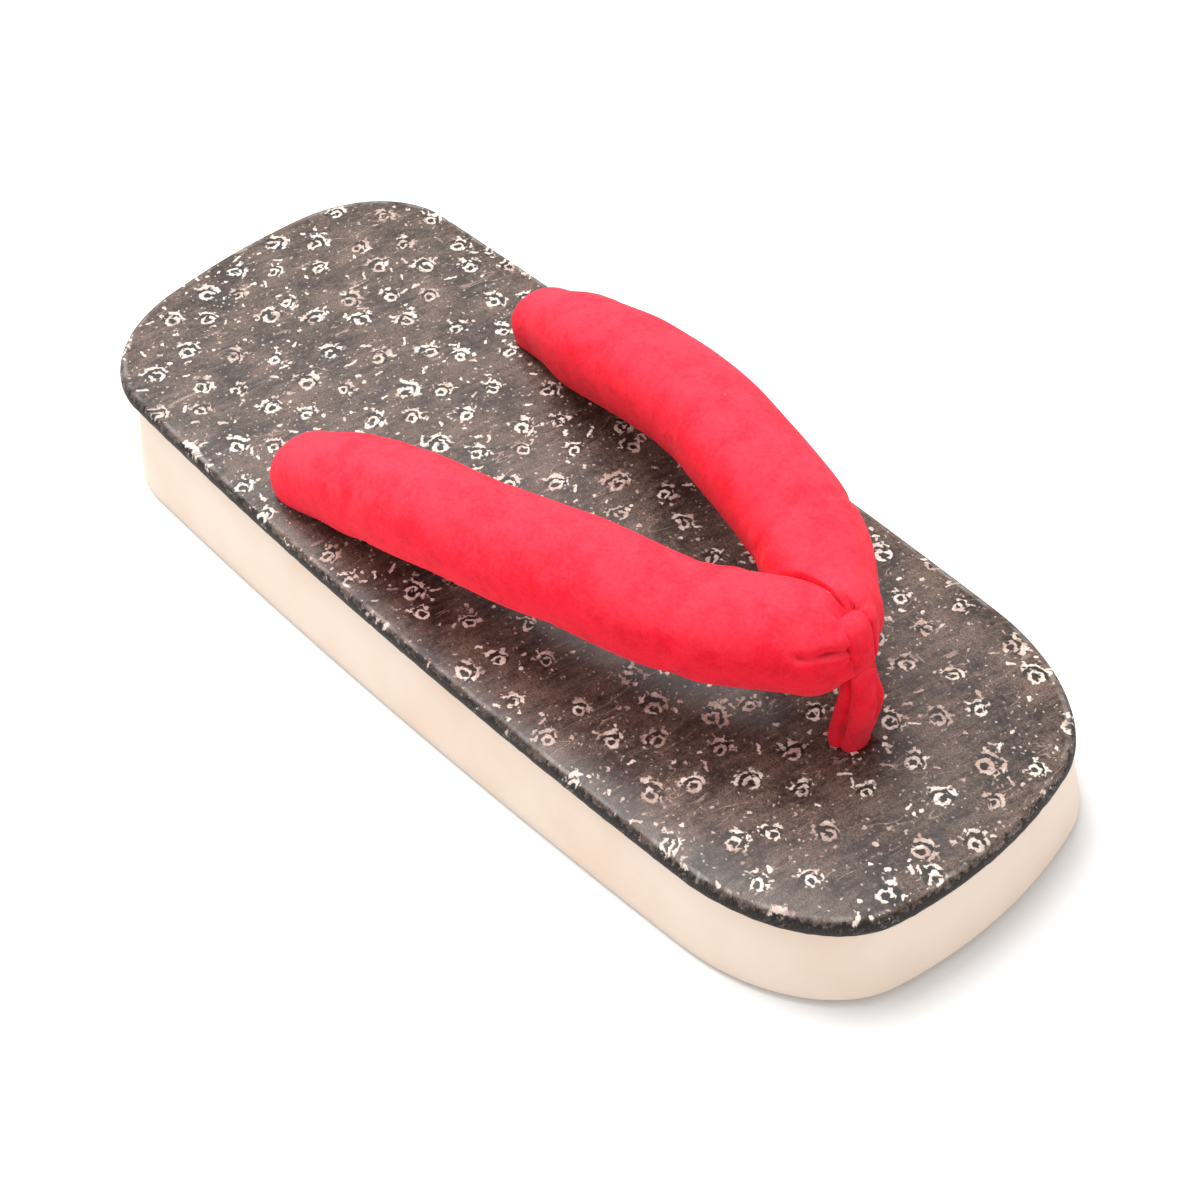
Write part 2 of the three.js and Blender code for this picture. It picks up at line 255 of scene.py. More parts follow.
@dataclass(frozen=True)
class FoamFinish:
    """Smooth moulded foam of the sole: cream, with faint clouds and fine pores, and painted grey shade
    towards the floor.
    """

    light: Colour = (0.825, 0.68, 0.568, 1.0)
    shade: Colour = (0.79, 0.62, 0.50, 1.0)
    # painted shade: the grey the foam is drawn in towards the floor, and the height in millimetres it reaches
    painted_floor_shade: Colour = (0.60, 0.53, 0.47, 1.0)
    painted_floor_shade_height: float = 2.6
    cloud_scale: float = 0.045
    pore_scale: float = 3.2
    pore_depth: float = 0.05
    gloss: float = 0.35

    def build(self) -> bpy.types.Material:
        """Makes the material."""
        graph = Graph("cream_foam")
        place = graph.millimetres()
        clouds = graph.ramp(graph.grain(place, self.cloud_scale, 3.0), 0.35, 0.68)
        colour = graph.mixed(clouds, self.light, self.shade)
        # painted shade: the foam drawn greyer towards the floor, under a ragged line
        height = graph.parts(place)[2]
        ragged = graph.plus(height, graph.times(graph.grain(place, 0.35, 3.0), -1.6))
        painted_floor_shade = graph.ramp(ragged, -0.6, self.painted_floor_shade_height, 0.42, 0.0)
        colour = graph.mixed(painted_floor_shade, colour, self.painted_floor_shade)
        pores = graph.grain(place, self.pore_scale, 3.0, 0.65)
        normal = graph.bumped(pores, self.pore_depth, 0.6)
        rough = graph.ramp(pores, 0.3, 0.7, 0.5, 0.62)
        return graph.surface(
            {"Base Color": colour, "Roughness": rough, "Normal": normal, "Specular IOR Level": self.gloss}
        )


@dataclass(frozen=True)
class PrintFinish:
    """Dark semi-gloss sheet printed with small broken rings under arched strokes, dashes and dots, with a
    painted highlight along its rim and painted shade on its turned-under edge.
    """

    ground: Colour = (0.144, 0.095, 0.072, 1.0)
    ground_dark: Colour = (0.022, 0.012, 0.009, 1.0)
    # near black: ink behind the motifs, and also the painted shade on the turned-under edge
    black_ink_and_edge_shade: Colour = (0.009, 0.006, 0.005, 1.0)
    cream: Colour = (0.92, 0.80, 0.70, 1.0)
    blush: Colour = (0.50, 0.35, 0.29, 1.0)
    # light grey of the random haze and of the painted highlight on the rim
    haze_and_rim_highlight_grey: Colour = (0.41, 0.37, 0.335, 1.0)
    pitch_across: float = 11.4
    pitch_up: float = 9.8
    row_turn: float = math.radians(17.0)
    ring_middle: tuple[float, ...] = (0.3, -0.55, 0.0)
    ring_radius: float = 1.2
    arch_middle: tuple[float, ...] = (0.0, -0.25, 0.0)
    arch_radius: float = 2.6
    arch_turn: float = math.radians(40.0)
    turn_scatter: float = 0.8
    spur_radius: float = 3.3
    spurs_around: float = 9.0
    dash_pitch: float = 3.5
    fleck_pitch: float = 1.5
    brush_turn: float = math.radians(12.0)
    brush_stretch: tuple[float, ...] = (1.0, 0.22, 1.0)
    line_shifts: tuple[tuple[float, float], ...] = ((0.24, 2.2), (1.3, 0.9))
    # where the painted edge shade comes in, by the distance round the edge in millimetres
    edge_shade_start: float = 1.7
    edge_shade_end: float = 2.3
    relief_depth: float = 0.14

    def cells(
        self, graph: Graph, place: Value, across: float, up: float, lean: float, scatter: float
    ) -> tuple[Socket, list[Socket]]:
        """Scattered cells, each with its own place and chance numbers.

        Args:
            graph: The tree the nodes go to.
            place: Flat coordinates in millimetres.
            across: Width of a cell.
            up: Height of a row.
            lean: Share of the width by which each row is shifted.
            scatter: 0 for a strict grid, 1 for full scatter.

        Returns:
            The place within the cell from its middle, in millimetres, and three chance numbers from 0 to 1.
        """
        x, y, _ = graph.parts(place)
        row = graph.math("DIVIDE", y, up)
        column = graph.minus(graph.math("DIVIDE", x, across), graph.times(row, lean))
        spot = graph.joined(column, row, 0.0)
        inputs = {"Vector": spot, "Scale": 1.0, "Randomness": scatter}
        cell = graph.add("TexVoronoi", inputs, voronoi_dimensions="2D", feature="F1")
        off = graph.vector("SUBTRACT", spot, cell.outputs["Position"])
        off_x, off_y, _ = graph.parts(off)
        wide = graph.times(graph.plus(off_x, graph.times(off_y, lean)), across)
        return graph.joined(wide, graph.times(off_y, up), 0.0), graph.parts(cell.outputs["Color"])

    def turned(self, graph: Graph, vector: Value, angle: Value) -> Socket:
        """A flat vector turned about Z."""
        inputs = {"Vector": vector, "Angle": angle}
        return graph.add("VectorRotate", inputs, rotation_type="Z_AXIS").outputs[0]

    def stroke(self, graph: Graph, distance: Value, half: Value, soft: float = 0.34) -> Socket:
        """Ink of a line: 1 within half its width of it, fading over `soft`."""
        off = graph.math("ABSOLUTE", distance)
        return graph.ramp(off, half, graph.plus(half, soft), 1.0, 0.0)

    def motifs(self, graph: Graph, place: Value, ragged: Value) -> tuple[Socket, ...]:
        """The ring motifs.

        Args:
            graph: The tree the nodes go to.
            place: Flat coordinates in millimetres.
            ragged: The same, shifted by noise so that strokes come out uneven.

        Returns:
            Ink of the strokes, ink of the black behind them, the room they take, and a chance number.
        """
        turned = self.turned(graph, ragged, self.row_turn)
        local, chance = self.cells(graph, turned, self.pitch_across, self.pitch_up, 0.5, 0.5)
        turns = (-self.arch_turn - self.turn_scatter, -self.arch_turn + self.turn_scatter)
        angle = graph.ramp(chance[0], 0.0, 1.0, *turns)
        local = self.turned(graph, local, angle)
        local = graph.scaled(local, graph.ramp(chance[1], 0.0, 1.0, 1.3, 0.92))
        side = graph.parts(local)[1]
        ring_gap = graph.vector("LENGTH", graph.vector("SUBTRACT", local, self.ring_middle))
        ring_half = graph.ramp(graph.grain(place, 0.8, 1.0), 0.36, 0.64, 0.08, 0.38)
        ring = self.stroke(graph, graph.minus(ring_gap, self.ring_radius), ring_half)
        whole = graph.ramp(graph.grain(place, 0.7, 0.0), 0.33, 0.39)
        ring = graph.times(ring, whole)
        arch_gap = graph.vector("LENGTH", graph.vector("SUBTRACT", local, self.arch_middle))
        arch_half = graph.ramp(graph.grain(place, 0.55, 1.0), 0.36, 0.64, 0.0, 0.5)
        arch = self.stroke(graph, graph.minus(arch_gap, self.arch_radius), arch_half)
        upper = graph.ramp(graph.plus(side, graph.times(chance[2], 1.2)), 0.4, 1.0)
        broken = graph.ramp(graph.grain(place, 0.5, 1.0), 0.42, 0.47)
        arch = graph.times(arch, upper, broken)
        spurs = graph.times(self.spurs(graph, local, arch_gap, chance[1]), upper)
        strokes = graph.largest(ring, arch, spurs)
        black = graph.times(graph.ramp(arch_gap, 2.3, 2.7, 1.0, 0.0), graph.ramp(side, -1.4, -0.3))
        heart = graph.ramp(ring_gap, 0.7, 1.0, 1.0, 0.0)
        black = graph.times(graph.largest(black, heart), 0.85)
        room = graph.ramp(arch_gap, 2.9, 3.7, 1.0, 0.0)
        return strokes, black, room, chance[2]

    def spurs(self, graph: Graph, local: Value, gap: Value, chance: Value) -> Socket:
        """Ink of a few short strokes that stand out from an arch.

        Args:
            graph: The tree the nodes go to.
            local: Place within the arch's cell.
            gap: Distance from the arch's middle.
            chance: Chance number of the cell.

        Returns:
            The ink.
        """
        x, y, _ = graph.parts(local)
        turn = graph.times(graph.math("ARCTAN2", y, x), self.spurs_around / math.tau)
        spread = graph.plus(turn, graph.times(chance, 5.0))
        off = graph.math("ABSOLUTE", graph.minus(graph.math("FRACT", spread), 0.5))
        thin = graph.ramp(off, 0.10, 0.17, 1.0, 0.0)
        length = graph.math("ABSOLUTE", graph.minus(gap, self.spur_radius))
        short = graph.ramp(length, 0.35, 0.6, 1.0, 0.0)
        kept = graph.ramp(graph.grain(local, 0.33, 0.0), 0.52, 0.6, 0.0, 0.8)
        return graph.times(thin, short, kept)

    def dashes(self, graph: Graph, ragged: Value, room: Value) -> Socket:
        """Ink of the short dashes and dots between the motifs."""
        local, chance = self.cells(graph, ragged, self.dash_pitch, self.dash_pitch, 0.0, 1.0)
        angle = graph.ramp(chance[0], 0.0, 1.0, 0.2, 2.6)
        x, y, _ = graph.parts(self.turned(graph, local, angle))
        length = graph.ramp(chance[1], 0.35, 1.0, 0.0, 1.15)
        past = graph.largest(graph.minus(graph.math("ABSOLUTE", x), length), 0.0)
        gap = graph.vector("LENGTH", graph.joined(past, y, 0.0))
        half = graph.ramp(chance[1], 0.0, 1.0, 0.36, 0.17)
        shown = graph.times(graph.ramp(chance[2], 0.62, 0.66), graph.minus(1.0, room))
        return graph.times(graph.ramp(gap, half, graph.plus(half, 0.2), 1.0, 0.0), shown)

    def flecks(self, graph: Graph, ragged: Value) -> Socket:
        """Ink of the tiny faint flecks."""
        local, chance = self.cells(graph, ragged, self.fleck_pitch, self.fleck_pitch, 0.0, 1.0)
        gap = graph.vector("LENGTH", local)
        return graph.times(graph.ramp(gap, 0.1, 0.3, 1.0, 0.0), graph.ramp(chance[2], 0.66, 0.74))

    def ground_tone(self, graph: Graph, place: Value, mottle: Value) -> Socket:
        """Colour of the sheet under the print: mottled, with slanted brush streaks and a few fine fibres."""
        slanted = self.turned(graph, place, self.brush_turn)
        brushed = graph.vector("MULTIPLY", slanted, self.brush_stretch)
        streaks = graph.grain(brushed, 0.7, 4.0, 0.65)
        clouds = graph.grain(place, 0.07, 3.0, 0.6)
        tone = graph.plus(graph.times(streaks, 0.34), graph.times(clouds, 0.42), graph.times(mottle, 0.3))
        ground = graph.mixed(graph.ramp(tone, 0.42, 0.66), self.ground_dark, self.ground)
        fibre = graph.math("ABSOLUTE", graph.minus(graph.grain(brushed, 0.3, 1.0), 0.5))
        few = graph.ramp(graph.grain(place, 0.12, 0.0), 0.55, 0.64)
        fibre = graph.times(graph.ramp(fibre, 0.003, 0.01, 0.4, 0.0), few)
        ground = graph.mixed(fibre, ground, self.blush)
        speck = graph.ramp(graph.grain(place, 2.6, 3.0, 0.75), 0.34, 0.66, 0.45, 1.6)
        return graph.vector("MULTIPLY", ground, graph.joined(speck, speck, speck))

    def build(self) -> bpy.types.Material:
        """Makes the material."""
        graph = Graph("printed_sheet")
        place = graph.scaled(graph.add("UVMap", {}, uv_map=SHEET_MAP).outputs[0], SHEET_UNIT)
        wrap = graph.parts(graph.add("UVMap", {}, uv_map=EDGE_MAP).outputs[0])[0]
        wrap = graph.times(wrap, SHEET_UNIT)
        ragged = place
        for scale, shift in self.line_shifts:
            sway = graph.vector("SUBTRACT", graph.noise(place, scale, 1.0).outputs["Color"], (0.5, 0.5, 0.5))
            ragged = graph.vector("ADD", ragged, graph.scaled(sway, shift))
        strokes, black, room, chance = self.motifs(graph, place, ragged)
        dashes = self.dashes(graph, ragged, room)
        flecks = graph.times(self.flecks(graph, ragged), 0.6)
        mottle = graph.grain(place, 1.1, 4.0, 0.7)
        ground = graph.mixed(black, self.ground_tone(graph, place, mottle), self.black_ink_and_edge_shade)
        # painted highlight: a patchy light grey band on the rounded rim, mixed with random grey haze
        rim_highlight_patches = graph.ramp(graph.grain(place, 0.13, 5.0, 0.7), 0.40, 0.62, 0.0, 0.45)
        painted_rim_highlight = graph.times(graph.ramp(wrap, 0.0, 0.6), graph.ramp(wrap, 0.9, 1.7, 1.0, 0.0), rim_highlight_patches)
        haze = graph.ramp(graph.grain(place, 0.8, 5.0, 0.75), 0.52, 0.7, 0.0, 0.2)
        ground = graph.mixed(graph.largest(painted_rim_highlight, haze), ground, self.haze_and_rim_highlight_grey)
        tone = graph.ramp(graph.plus(graph.grain(place, 0.22, 2.0), graph.times(chance, 0.3)), 0.5, 0.85)
        ink = graph.mixed(tone, self.cream, self.blush)
        patchy = graph.ramp(graph.grain(place, 2.2, 3.0, 0.7), 0.34, 0.54, 0.55, 1.0)
        printed = graph.times(graph.largest(strokes, dashes, flecks), patchy)
        colour = graph.mixed(printed, ground, ink)
        # painted shade: the turned-under side face of the cover drawn near black, with a ragged line and
        # specks
        uneven = graph.ramp(graph.grain(place, 0.45, 4.0, 0.7), 0.3, 0.7, -1.1, 1.1)
        edge_shade_ramp = graph.ramp(graph.plus(wrap, uneven), self.edge_shade_start, self.edge_shade_end, 0.0, 0.97)
        speckled = graph.ramp(graph.grain(place, 2.4, 3.0, 0.7), 0.34, 0.5, 0.7, 1.0)
        tucked = graph.times(edge_shade_ramp, speckled)
        colour = graph.mixed(tucked, colour, self.black_ink_and_edge_shade)
        swell = graph.times(graph.grain(place, 0.16, 3.0), 1.6)
        relief = graph.plus(graph.times(printed, 0.3), graph.times(mottle, 0.5), swell)
        rough = graph.ramp(graph.plus(mottle, graph.times(printed, 0.3)), 0.3, 0.95, 0.36, 0.62)
        rough = graph.largest(rough, graph.times(tucked, 0.85))
        return graph.surface(
            {
                "Base Color": colour,
                "Roughness": rough,
                "Normal": graph.bumped(relief, self.relief_depth),
                "Specular IOR Level": 0.36,
                "Coat Weight": 0.1,
                "Coat Roughness": 0.28,
            }
        )


@dataclass(frozen=True)
class VelvetFinish:
    """Short red velvet pile with random nap patches, lint and tufts: painted lighter pink on its upper faces,
    painted deeper red shade on its lower faces and along its creases.
    """

    # painted lit pink of upper faces
    lit: Colour = (0.90, 0.056, 0.092, 1.0)
    # deeper red of the nap, also the painted shade of lower faces
    nap_and_underside_shade: Colour = (0.94, 0.012, 0.035, 1.0)
    # painted shade in the creases
    painted_crease_shade: Colour = (0.16, 0.0, 0.006, 1.0)
    # painted shade: patchy deeper red used only on lower faces
    brushed: Colour = (0.55, 0.003, 0.015, 1.0)
    lint: Colour = (1.0, 0.45, 0.45, 1.0)
    patch_scale: float = 0.1
    pile_scale: float = 1.3
    lint_pitch: float = 0.1

    def build(self) -> bpy.types.Material:
        """Makes the material."""
        graph = Graph("red_velvet")
        place = graph.millimetres()
        patches = graph.ramp(graph.grain(place, self.patch_scale, 5.0, 0.7), 0.42, 0.64)
        pile = graph.grain(place, self.pile_scale, 3.0, 0.7)
        facing = graph.parts(graph.add("NewGeometry", {}).outputs["Normal"])[2]
        # painted light and shade: upper faces toward the lit pink, lower faces toward the deeper red, by the
        # normal's height, with random nap mixed in
        painted_underside_shade = graph.ramp(graph.plus(facing, graph.times(pile, 0.3)), 0.12, 1.3, 0.95, 0.0)
        nap = graph.plus(graph.times(patches, 0.4), graph.ramp(pile, 0.36, 0.66, -0.05, 0.3))
        colour = graph.mixed(graph.plus(nap, painted_underside_shade), self.lit, self.nap_and_underside_shade)
        # painted shade: patchy deeper red on the lower faces only
        underside_shade_patches = graph.ramp(graph.grain(place, 0.2, 6.0, 0.8), 0.46, 0.62)
        underside_shade_patches = graph.times(underside_shade_patches, graph.ramp(facing, 0.15, 0.8, 0.36, 0.0))
        colour = graph.mixed(underside_shade_patches, colour, self.brushed)
        spot = graph.add("TexVoronoi", {"Vector": place, "Scale": self.lint_pitch, "Randomness": 1.0})
        rare = graph.ramp(graph.parts(spot.outputs["Color"])[0], 0.72, 0.74)
        lint = graph.times(graph.ramp(spot.outputs["Distance"], 0.02, 0.05, 1.0, 0.0), rare)
        colour = graph.mixed(graph.times(lint, 0.5), colour, self.lint)
        # painted shade: near black red along the creases, read from the crease layer
        crease_shade = graph.add("Attribute", {}, attribute_name=CREASE_SHADE_MAP).outputs["Fac"]
        colour = graph.mixed(graph.ramp(crease_shade, 0.1, 0.9, 0.0, 0.9), colour, self.painted_crease_shade)
        tufts = graph.ramp(graph.grain(place, 2.6, 4.0, 0.8), 0.3, 0.7, 0.9, 1.08)
        colour = graph.vector("MULTIPLY", colour, graph.joined(tufts, tufts, tufts))
        soft = graph.times(graph.grain(place, 0.4, 2.0), 3.0)
        fine = graph.plus(soft, graph.times(graph.grain(place, 3.0, 4.0, 0.8), 1.6))
        return graph.surface(
            {
                "Base Color": colour,
                "Roughness": 0.95,
                "Normal": graph.bumped(fine, 0.1),
                "Specular IOR Level": 0.12,
                "Sheen Weight": 0.15,
                "Sheen Roughness": 0.45,
                "Sheen Tint": (1.0, 0.5, 0.55, 1.0),
            }
        )


@dataclass(frozen=True)
class FloorFinish:
    """Plain pale floor."""

    tone: Colour = (0.93, 0.93, 0.93, 1.0)

    def build(self) -> bpy.types.Material:
        """Makes the material."""
        graph = Graph("pale_floor")
        faint = graph.ramp(graph.grain(graph.millimetres(), 0.01, 2.0), 0.3, 0.7, 0.99, 1.0)
        tone = graph.scaled(self.tone[:3], faint)
        return graph.surface({"Base Color": tone, "Roughness": 0.8, "Specular IOR Level": 0.1})


class SmoothPath:
    """A smooth line through a few points, walked by its share of length."""

    def __init__(self, points: Iterable[tuple[float, ...] | Vector], steps: int = 24) -> None:
        """Draws the line.

        Args:
            points: Places the line runs through, in order.
            steps: Chords for each stretch between two of them.
        """
        knots = [Vector(point) for point in points]
        knots = [knots[0] * 2 - knots[1], *knots, knots[-1] * 2 - knots[-2]]
        self.spots = [knots[1].copy()]
        for before, start, end, after in zip(knots, knots[1:], knots[2:], knots[3:]):
            for step in range(1, steps + 1):
                self.spots.append(self.between(before, start, end, after, step / steps))
        self.marks = [0.0]
        for start, end in zip(self.spots, self.spots[1:]):
            self.marks.append(self.marks[-1] + (end - start).length)

    @staticmethod
    def between(before: Vector, start: Vector, end: Vector, after: Vector, share: float) -> Vector:
        """Point of the smooth stretch from `start` to `end`."""
        bend = 2 * before - 5 * start + 4 * end - after
        twist = 3 * start - before - 3 * end + after
        return 0.5 * (2 * start + (end - before) * share + bend * share**2 + twist * share**3)

    def at(self, share: float) -> Vector:
        """Point at a share of the line's length."""
        reach = min(max(share, 0.0), 1.0) * self.marks[-1]
        number = min(max(bisect_left(self.marks, reach), 1), len(self.marks) - 1)
        start, end = self.marks[number - 1], self.marks[number]
        within = (reach - start) / max(end - start, 1e-9)
        return self.spots[number - 1].lerp(self.spots[number], within)

    def ahead(self, share: float) -> Vector:
        """Way on at a share of the line's length."""
        step = 0.004
        return (self.at(share + step) - self.at(share - step)).normalized()

    def nearest(self, spot: Vector) -> tuple[float, float]:
        """Gap from a point to the line, and the share of the line where it is nearest."""
        best = (math.inf, 0.0)
        for number, (start, end) in enumerate(zip(self.spots, self.spots[1:])):
            run = end - start
            within = min(max((spot - start).dot(run) / max(run.length_squared, 1e-12), 0.0), 1.0)
            gap = (start + run * within - spot).length
            if gap < best[0]:
                reach = self.marks[number] + run.length * within
                best = (gap, reach / self.marks[-1])
        return best


@dataclass(frozen=True)
class Girth:
    """Size of a tube at a share of its line, as shares of its full width and height."""

    at: float
    width: float
    height: float

    @staticmethod
    def along(rows: list["Girth"], at: float) -> tuple[float, float]:
        """Width and height between the rows, eased from row to row."""
        number = next((i for i, row in enumerate(rows) if row.at >= at), len(rows) - 1)
        after = rows[max(number, 1)]
        before = rows[max(number, 1) - 1]
        share = eased((at - before.at) / (after.at - before.at))
        return blended(before.width, after.width, share), blended(before.height, after.height, share)


@dataclass
class Ring:
    """One ring of a padded tube: its middle, the ways across and over it, and its half sizes."""

    middle: Vector
    across: Vector
    over: Vector
    half_width: float
    half_height: float
    power: float = 2.15
    sag: float = 0.0

    def point(self, angle: float) -> Vector:
        """Point of the ring at an angle from its way across."""
        reach = 2.0 / self.power
        cosine, sine = math.cos(angle), math.sin(angle)
        wide = math.copysign(abs(cosine) ** reach, cosine) * self.half_width
        high = math.copysign(abs(sine) ** reach, sine) * self.half_height
        if sine < 0.0:
            high *= 1.0 + self.sag
        return self.middle + self.across * wide + self.over * high


class Form:
    """A mesh that grows ring by ring and ends as a dressed piece of the sandal."""

    def __init__(self) -> None:
        """Starts an empty mesh."""
        self.mesh = bmesh.new()

    def first_ring(self, around: int, place: Placer) -> Corners:
        """Lays the first ring.

        Args:
            around: Number of its corners.
            place: Gives the place of each corner by its number.

        Returns:
            The corners in order.
        """
        ring = bmesh.ops.create_circle(self.mesh, segments=around, radius=1.0)["verts"]
        for number, corner in enumerate(ring):
            corner.co = place(number)
        return ring

    def edges_round(self, ring: Corners) -> list[bmesh.types.BMEdge]:
        """Edges round a ring in order."""
        return [self.mesh.edges.get(pair) for pair in zip(ring, ring[1:] + ring[:1])]

    def next_ring(self, ring: Corners, place: Placer) -> Corners:
        """Extrudes a ring once.

        Args:
            ring: Corners of the last ring in order.
            place: Gives the place of each new corner by its number.

        Returns:
            The new corners in order.
        """
        made = bmesh.ops.extrude_edge_only(self.mesh, edges=self.edges_round(ring))["geom"]
        fresh = {item for item in made if isinstance(item, bmesh.types.BMVert)}
        following = []
        for number, corner in enumerate(ring):
            others = (edge.other_vert(corner) for edge in corner.link_edges)
            new = next(other for other in others if other in fresh)
            new.co = place(number)
            following.append(new)
        return following

    def close(self, ring: Corners) -> None:
        """Closes a small ring with one face."""
        bmesh.ops.contextual_create(self.mesh, geom=ring)

    def rows(self, around: int, places: Iterable[Placer]) -> Corners:
        """Closes a first ring and extrudes it row by row.

        Args:
            around: Number of corners of each ring.
            places: For each ring, what gives the place of a corner by its number.

        Returns:
            The corners of the last ring in order.
        """
        first, *others = places
        ring = self.first_ring(around, first)
        self.close(ring)
        for place in others:
            ring = self.next_ring(ring, place)
        return ring

    def tube(self, rings: list[Ring], around: int) -> list[Corners]:
        """Sweeps a tube through rings and closes both its ends.

        Args:
            rings: The rings from end to end.
            around: Number of corners of each.

        Returns:
            The corners of each ring in order.
        """
        made = self.sweep(rings, around)
        self.close(made[0])
        self.close(made[-1])
        return made

    def sweep(self, rings: list[Ring], around: int) -> list[Corners]:
        """Sweeps a tube through rings and leaves its ends open.

        Args:
            rings: The rings from end to end.
            around: Number of corners of each.

        Returns:
            The corners of each ring in order.
        """
        turn = math.tau / around
        made = [self.first_ring(around, lambda number: rings[0].point(turn * number))]
        for ring in rings[1:]:
            made.append(self.next_ring(made[-1], lambda number: ring.point(turn * number)))
        return made

    def refine(self) -> None:
        """Rounds the mesh with one level of a subdivision surface."""
        data = bpy.data.meshes.new("rounded")
        self.mesh.to_mesh(data)
        rounded = placed("rounded", data)
        with_modifier(rounded, "SUBSURF", levels=1, render_levels=1)
        self.mesh.clear()
        self.mesh.from_mesh(rounded.data)
        take_out(rounded)

    def outward(self) -> None:
        """Turns every face outwards."""
        bmesh.ops.recalc_face_normals(self.mesh, faces=self.mesh.faces)

    def piece(
        self, name: str, slot: Slot | None, material: bpy.types.Material, sharp: float = 40.0
    ) -> bpy.types.Object:
        """Ends the form as an object in metres, at the origin, with its finish.

        Args:
            name: Name of the piece.
            slot: Its slot in the record, if it is part of the sandal.
            material: Its finish.
            sharp: Edges that turn by more degrees than this stay sharp.

        Returns:
            The object.
        """
        self.outward()
        bmesh.ops.scale(self.mesh, vec=(METRE, METRE, METRE), verts=self.mesh.verts)
        data = bpy.data.meshes.new(name)
        self.mesh.to_mesh(data)
        self.mesh.free()
        data.materials.append(material)
        data.shade_smooth()
        data.set_sharp_from_angle(angle=math.radians(sharp))
        made = placed(name, data)
        if slot is not None:
            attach(made, BODY)
        log.info("%s: %d faces", name, len(data.polygons))
        return made


def with_modifier(piece: bpy.types.Object, kind: str, **settings: object) -> None:
    """Adds a modifier, sets it and applies it to the piece's own mesh.

    Args:
        piece: The object.
        kind: Type of the modifier.
        settings: Its properties.
    """
    modifier = piece.modifiers.new(kind.title(), kind)
    for name, value in settings.items():
        setattr(modifier, name, value)
    graph = bpy.context.evaluated_depsgraph_get()
    made = bpy.data.meshes.new_from_object(piece.evaluated_get(graph), depsgraph=graph)
    piece.modifiers.clear()
    old = piece.data
    piece.data = made
    bpy.data.meshes.remove(old)
    made.name = piece.name


@dataclass(frozen=True)
class Footprint:
    """Plan outline and heights that the sole, the cover and the straps share."""

    length: float = 241.0
    toe_width: float = 83.0
    middle_width: float = 93.2
    heel_width: float = 88.4
    toe_bulge: float = 11.7
    heel_bulge: float = 7.1
    toe_corner: tuple[float, float] = (27.9, 19.3)
    heel_corner: tuple[float, float] = (18.7, 24.5)
    corner_power: float = 2.2
    heel_height: float = 33.6
    toe_height: float = 23.5
    top_dip: float = 1.1
    cover_thickness: float = 4.3
    clearance: float = 0.3
    toe_spring: float = 1.5
    toe_spring_length: float = 45.0
    rear_hole: tuple[float, float] = (-44.5, 34.0)
    front_hole_x: float = 85.0
    tail_room: float = 4.1
    recess_radius: float = 7.4
    recess_depth: float = 8.5
    edge_search: tuple[float, float] = (0.5, 1.5)
    edge_halvings: int = 26

    def cover_top(self, x: float) -> float:
        """Height of the cover's upper face."""
        share = x / self.length + 0.5
        return blended(self.heel_height, self.toe_height, share) - self.top_dip * 4.0 * share * (1.0 - share)

    def cover_bottom(self, x: float) -> float:
        """Height of the cover's lower face."""
        return self.cover_top(x) - self.cover_thickness

    def sole_top(self, x: float) -> float:
        """Height of the sole's upper face."""
        return self.cover_bottom(x) - self.clearance

    def sole_bottom(self, x: float) -> float:
        """Height of the sole's underside, which springs up to the toe."""
        share = max((x - self.length / 2 + self.toe_spring_length) / self.toe_spring_length, 0.0)
        return self.toe_spring * share * share

    def outside(self, x: float, y: float, outset: float) -> float:
        """Negative inside the outline that lies `outset` outside the cover's own, positive outside it."""
        share = 2.0 * x / self.length
        across = 2.0 * y / self.middle_width
        skew = (self.toe_width - self.heel_width) / 4.0 * share
        spread = ((self.toe_width + self.heel_width) / 4.0 - self.middle_width / 2.0) * share * share
        half_width = self.middle_width / 2.0 + skew + spread
        bulge = self.toe_bulge if x > 0.0 else self.heel_bulge
        long, wide = self.toe_corner if x > 0.0 else self.heel_corner
        past_end = abs(x) - (self.length / 2.0 - bulge * across * across) - outset
        past_side = abs(y) - half_width - outset
        end_share = max(past_end / long + 1.0, 0.0)
        side_share = max(past_side / wide + 1.0, 0.0)
        return end_share**self.corner_power + side_share**self.corner_power - 1.0

    @lru_cache(maxsize=None)
    def edge(self, angle: float, outset: float) -> Vector:
        """Point of the outline in the direction of `angle`, with the outline squeezed to a square."""
        toward = Vector((math.cos(angle) * self.length / 2.0, math.sin(angle) * self.middle_width / 2.0, 0.0))
        inner, outer = self.edge_search
        for _ in range(self.edge_halvings):
            middle = (inner + outer) / 2.0
            if self.outside(middle * toward.x, middle * toward.y, outset) < 0.0:
                inner = middle
            else:
                outer = middle
        return (toward * inner).freeze()

    def holes(self) -> list[tuple[float, float]]:
        """Places of the three strap holes."""
        x, y = self.rear_hole
        return [(x, y), (x, -y), (self.front_hole_x, 0.0)]


